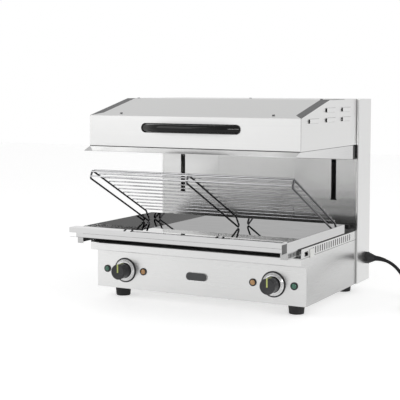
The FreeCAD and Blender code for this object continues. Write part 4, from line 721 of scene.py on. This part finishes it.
# %% Lay bevelled strips
def both_sides(inner, outer, low, high):
    """Corners in mm on the right and on the left: X from inner to outer, (Y, Z) from low to high."""
    return [((min(sign * inner, sign * outer), *low), (max(sign * inner, sign * outer), *high))
            for sign in (1, -1)]


def strips(name, surface, body, boxes, bevel=0.2, crease=30):
    """Bevelled strips from pairs of corners in mm, kept as one piece."""
    mesh = bmesh.new()
    for low, high in boxes:
        corners = bmesh.ops.create_cube(mesh, size=1)["verts"]
        for corner in corners:
            corner.co = metres(*[near if at < 0 else far for at, near, far in zip(corner.co, low, high)])
        edges = list({edge for corner in corners for edge in corner.link_edges})
        bmesh.ops.bevel(mesh, geom=edges, offset=bevel / 1000, segments=2, affect="EDGES", profile=0.5)
    keep(name, mesh, surface, body, crease=crease)
    print(name, len(boxes), "strips")


# %% [markdown]
# The hood's front is folded round to the sides, and the fold stops at a fine joint on each
# corner. The column's front plate sits in its shell with a joint along both edges, and the
# base rails rest on the side panels. The near-black strips in these joints are painted
# shadow, and the grey line where the base meets the column is painted shade.

# %% Seams of the hood, the column and the base
strips("hood_corner_seam_shadows", seam_shadow, "hood",
       both_sides(293.15, 293.7, (-189.9, 402), (-189.1, 478)), bevel=0.1)
strips("hood_bottom_seam_shadow", seam_shadow, "hood", [((-292.8, -190.95, 401.1), (292.8, -190.55, 401.9))],
       bevel=0.1)
strips("base_column_shade_lines", edge_shade_grey, "base",
       both_sides(295.3, 295.65, (190.6, 29), (193.4, 171.3)), bevel=0.08)
strips("column_edge_folds", upright_steel, "base",
       both_sides(294.5, 299.9, (193.5, 29), (194.3, 521)))
strips("rail_seam_shadows", seam_shadow, "base",
       both_sides(295.2 - 0.55, 295.2 + 0.55, (-184.5, 147.9), (193.5, 148.7)), bevel=0.1)

# %% [markdown]
# The column's plate is stiffened by two pressed ribs beside its middle. From the front they
# are only fine bright lines, and their bright polished steel is a painted highlight.

# %% Ribs on the column's front plate
strips("column_ribs", skirt_reflection_steel, "base",
       both_sides(115 - 0.8, 115 + 0.8, (193.75, 172), (194.35, 516)), bevel=0.25)

# %% [markdown]
# The tray's front lip is a folded tube. A dark plate closes its right end, and its darkness is
# painted shade. The sheet's hem shows as a fine grey line along the lower part of its face, and
# that grey is painted shade too.

# %% End plate and hem of the tray's lip
strips("lip_end_shade_plate", deck_and_shade_steel, "tray", [((290.4, -289.4, 173.2), (290.8, -260.4, 195.2))])
strips("lip_hem_shade_line", edge_shade_grey, "tray", [((-289, -290.24, 176.4), (289, -289.9, 177.2))], bevel=0.05)

# %% [markdown]
# The skirt hangs inside the hood's sides. Its upper joint is a fine dark line of painted shadow
# under the hood's side. Its lower edge is hemmed, and the thin grey wire-like line that runs down
# along it from front to back is painted shade.

# %% Joints and hems of the skirt
strips("skirt_joint_shadows", seam_shadow, "hood",
       both_sides(292.4, 293.3, (-189, 400.0), (168, 400.95)), bevel=0.1)
hem_steps = 24
for side, sign in (("left", -1), ("right", 1)):
    hem = [metres(sign * 292.6, -217.5 + 387 * step / hem_steps, 389.2 - 26.5 * step / hem_steps)
           for step in range(hem_steps + 1)]
    keep(f"skirt_hem_shade_{side}", swept(hem, round_section(0.6, 10), (1, 0, 0)), edge_shade_grey, "hood")

# %% [markdown]
# The hood's sides carry pressed air slots. A thin grey strip along the upper and the lower edge
# of each tab is painted shade and painted reflection on the tab's rounded edges.

# %% Painted shade along the air slots
tab_edge_shades = []
for start, middle in ((-140.75, 471), (-29.75, 471), (81.25, 471), (-29.75, 495.5), (81.25, 495.5)):
    for low, high, length in ((5.2, 5.9, 66), (-5.7, -5.3, 60)):
        tab_edge_shades += both_sides(293.3, 293.62, (start, middle + low), (start + length, middle + high))
strips("louvre_edge_shades", edge_shade_grey, "hood", tab_edge_shades, bevel=0.08)

# %% [markdown]
# A black liner inside each carrier is painted shadow: it makes the slits read as dark openings
# between light bars. It moves with the tray. The base rails have such a liner too, behind their
# row of slits, and a small black plug at the front end of each rail is painted shadow as well.

# %% Painted shadow liners in the carriers and rails
strips("carrier_shadow_liners", seam_shadow, "tray", both_sides(286.6, 287.4, (-254, 156.6), (66, 170.6)))
strips("rail_end_shadow_plugs", black_plastic, "base", both_sides(283, 294.3, (-186.2, 149.7), (-184.9, 155.4)))
strips("rail_shadow_liners", seam_shadow, "base", both_sides(293.4, 294.2, (-110.4, 151), (150, 169.5)))

# %% [markdown]
# The badge is a blank enamel plate in a thin bright frame, which is swept once round it.

# %% Frame the badge
badge_front, badge_arc_middle, badge_arc_radius, badge_steps = -154.7, 19.65, 10.55, 96
frame_section = ((-0.7, 0.15), (-0.5, -0.35), (0.0, -0.5), (0.28, -0.3), (0.28, 0.15))
frame_mesh = bmesh.new()
rows = []
for step in range(badge_steps):
    angle = 2 * math.pi * step / badge_steps
    end = badge_arc_middle if math.cos(angle) > 0 else -badge_arc_middle
    spot = metres(end + badge_arc_radius * math.cos(angle), badge_front,
                  control_height + badge_arc_radius * math.sin(angle))
    nearest = max(-badge_arc_middle, min(badge_arc_middle, spot.x * 1000))
    out = (spot - metres(nearest, badge_front, control_height)).normalized()
    rows.append([frame_mesh.verts.new(spot + out * wide / 1000 + Vector((0, deep / 1000, 0)))
                 for wide, deep in frame_section])
for first, second in zip(rows, rows[1:] + rows[:1]):
    for edge in range(len(frame_section)):
        ahead = (edge + 1) % len(frame_section)
        frame_mesh.faces.new([first[edge], first[ahead], second[ahead], second[edge]])
bmesh.ops.recalc_face_normals(frame_mesh, faces=frame_mesh.faces)
keep("badge_frame", frame_mesh, dial_metal, "base", crease=40)
print("badge frame", 2 * (badge_arc_middle + badge_arc_radius), "mm wide")

# %% [markdown]
# ## Floor and light
# The picture has a pale floor with no horizon. The floor is a plain sheet with a soft
# shadow, and the air around is white wherever the camera, a shiny piece or clear glass looks.
# Two broad lamps give the light a direction without hard edges, and a small one stands in for
# a window, because rounded pieces need one sharper glint.

# %% Lay the floor
def seen_directly(tree):
    """1 for rays from the camera, or mirrored or let through on their way to it."""
    ray = add(tree, "ShaderNodeLightPath", {})
    seen = ray.outputs["Is Camera Ray"]
    for kind in ("Is Glossy Ray", "Is Transmission Ray"):
        either = {0: seen, 1: ray.outputs[kind]}
        seen = add(tree, "ShaderNodeMath", either, operation="MAXIMUM").outputs["Value"]
    return seen


floor_sheet = bmesh.new()
bmesh.ops.create_grid(floor_sheet, x_segments=8, y_segments=8, size=6)
floor_data = bpy.data.meshes.new("floor")
floor_sheet.to_mesh(floor_data)
floor_sheet.free()
floor = bpy.data.objects.new("floor", floor_data)
bpy.context.scene.collection.objects.link(floor)
floor_paint = bpy.data.materials.new("pale_floor")
floor_paint.use_nodes = True
paint = floor_paint.node_tree
coat = paint.nodes["Principled BSDF"]
coat.inputs["Base Color"].default_value = (0.82, 0.82, 0.82, 1)
coat.inputs["Roughness"].default_value = 0.7
coat.inputs["Emission Color"].default_value = (1, 1, 1, 1)
lift = add(paint, "ShaderNodeMath", {0: seen_directly(paint), 1: 0.45}, operation="MULTIPLY")
paint.links.new(lift.outputs["Value"], coat.inputs["Emission Strength"])
floor_data.materials.append(floor_paint)
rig.stage(floor)
print("floor laid,", round(floor.dimensions.x), "m wide")

# %% [markdown]
# A polished sheet shows whatever is around it. In an all-white room it would look flat and
# chalky, so shiny pieces see an air that is a little dimmer overhead and on one side, as a
# real room is. The camera itself sees plain white.

# %% Fill the air
bpy.context.scene.view_settings.view_transform = "Standard"
air = bpy.data.worlds.new("studio_air")
bpy.context.scene.world = air
air.use_nodes = True
sky = air.node_tree
look = add(sky, "ShaderNodeTexCoord", {}).outputs["Generated"]
height = add(sky, "ShaderNodeSeparateXYZ", {"Vector": look}).outputs["Z"]
ceiling = spread(sky, height, 1.0, 0.60, 0.25, 0.85)
front_right = (0.8, -0.6, 0.0)
to_right = add(sky, "ShaderNodeVectorMath", {0: look, 1: front_right}, operation="DOT_PRODUCT")
dim_side = spread(sky, to_right.outputs["Value"], 1.0, 0.55, 0.45, 0.95)
mirrored_air = add(sky, "ShaderNodeMath", {0: ceiling, 1: dim_side}, operation="MULTIPLY").outputs["Value"]
ray = add(sky, "ShaderNodeLightPath", {})
either = {0: ray.outputs["Is Camera Ray"], 1: ray.outputs["Is Transmission Ray"]}
straight = add(sky, "ShaderNodeMath", either, operation="MAXIMUM").outputs["Value"]
plain_air = 0.60
unseen = add(sky, "ShaderNodeMix", {"Factor": ray.outputs["Is Glossy Ray"], 2: plain_air, 3: mirrored_air})
strength = add(sky, "ShaderNodeMix", {"Factor": straight, 2: unseen.outputs[0], 3: 1.0})
sky.links.new(strength.outputs[0], sky.nodes["Background"].inputs["Strength"])
sky.nodes["Background"].inputs["Color"].default_value = (1, 1, 1, 1)
print("air filled at strength", plain_air)


# %% Hang the lamps
def hang_lamp(name, spot, target, width, power):
    """A broad square lamp that faces a target."""
    light = bpy.data.lights.new(name, "AREA")
    light.size = width
    light.energy = power
    lamp = bpy.data.objects.new(name, light)
    lamp.location = spot
    lamp.rotation_euler = (Vector(target) - Vector(spot)).to_track_quat("-Z", "Y").to_euler()
    bpy.context.scene.collection.objects.link(lamp)
    print(name, power, "W")


hang_lamp("broad_front_lamp", (-1.8, -2.4, 1.6), (0, 0, 0.25), 1.8, 20)
hang_lamp("broad_side_lamp", (2.4, -0.4, 1.8), (0, 0, 0.25), 1.6, 12)
hang_lamp("small_window_lamp", (1.75, -2.0, 0.75), (0, -0.2, 0.4), 0.35, 5)

# %% Write the sizes
json.dump({"packed": [list(corner) for corner in packed_box],
           "dressed": [list(corner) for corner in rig.bounds()]}, open("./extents.json", "w"))
print(open("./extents.json").read())
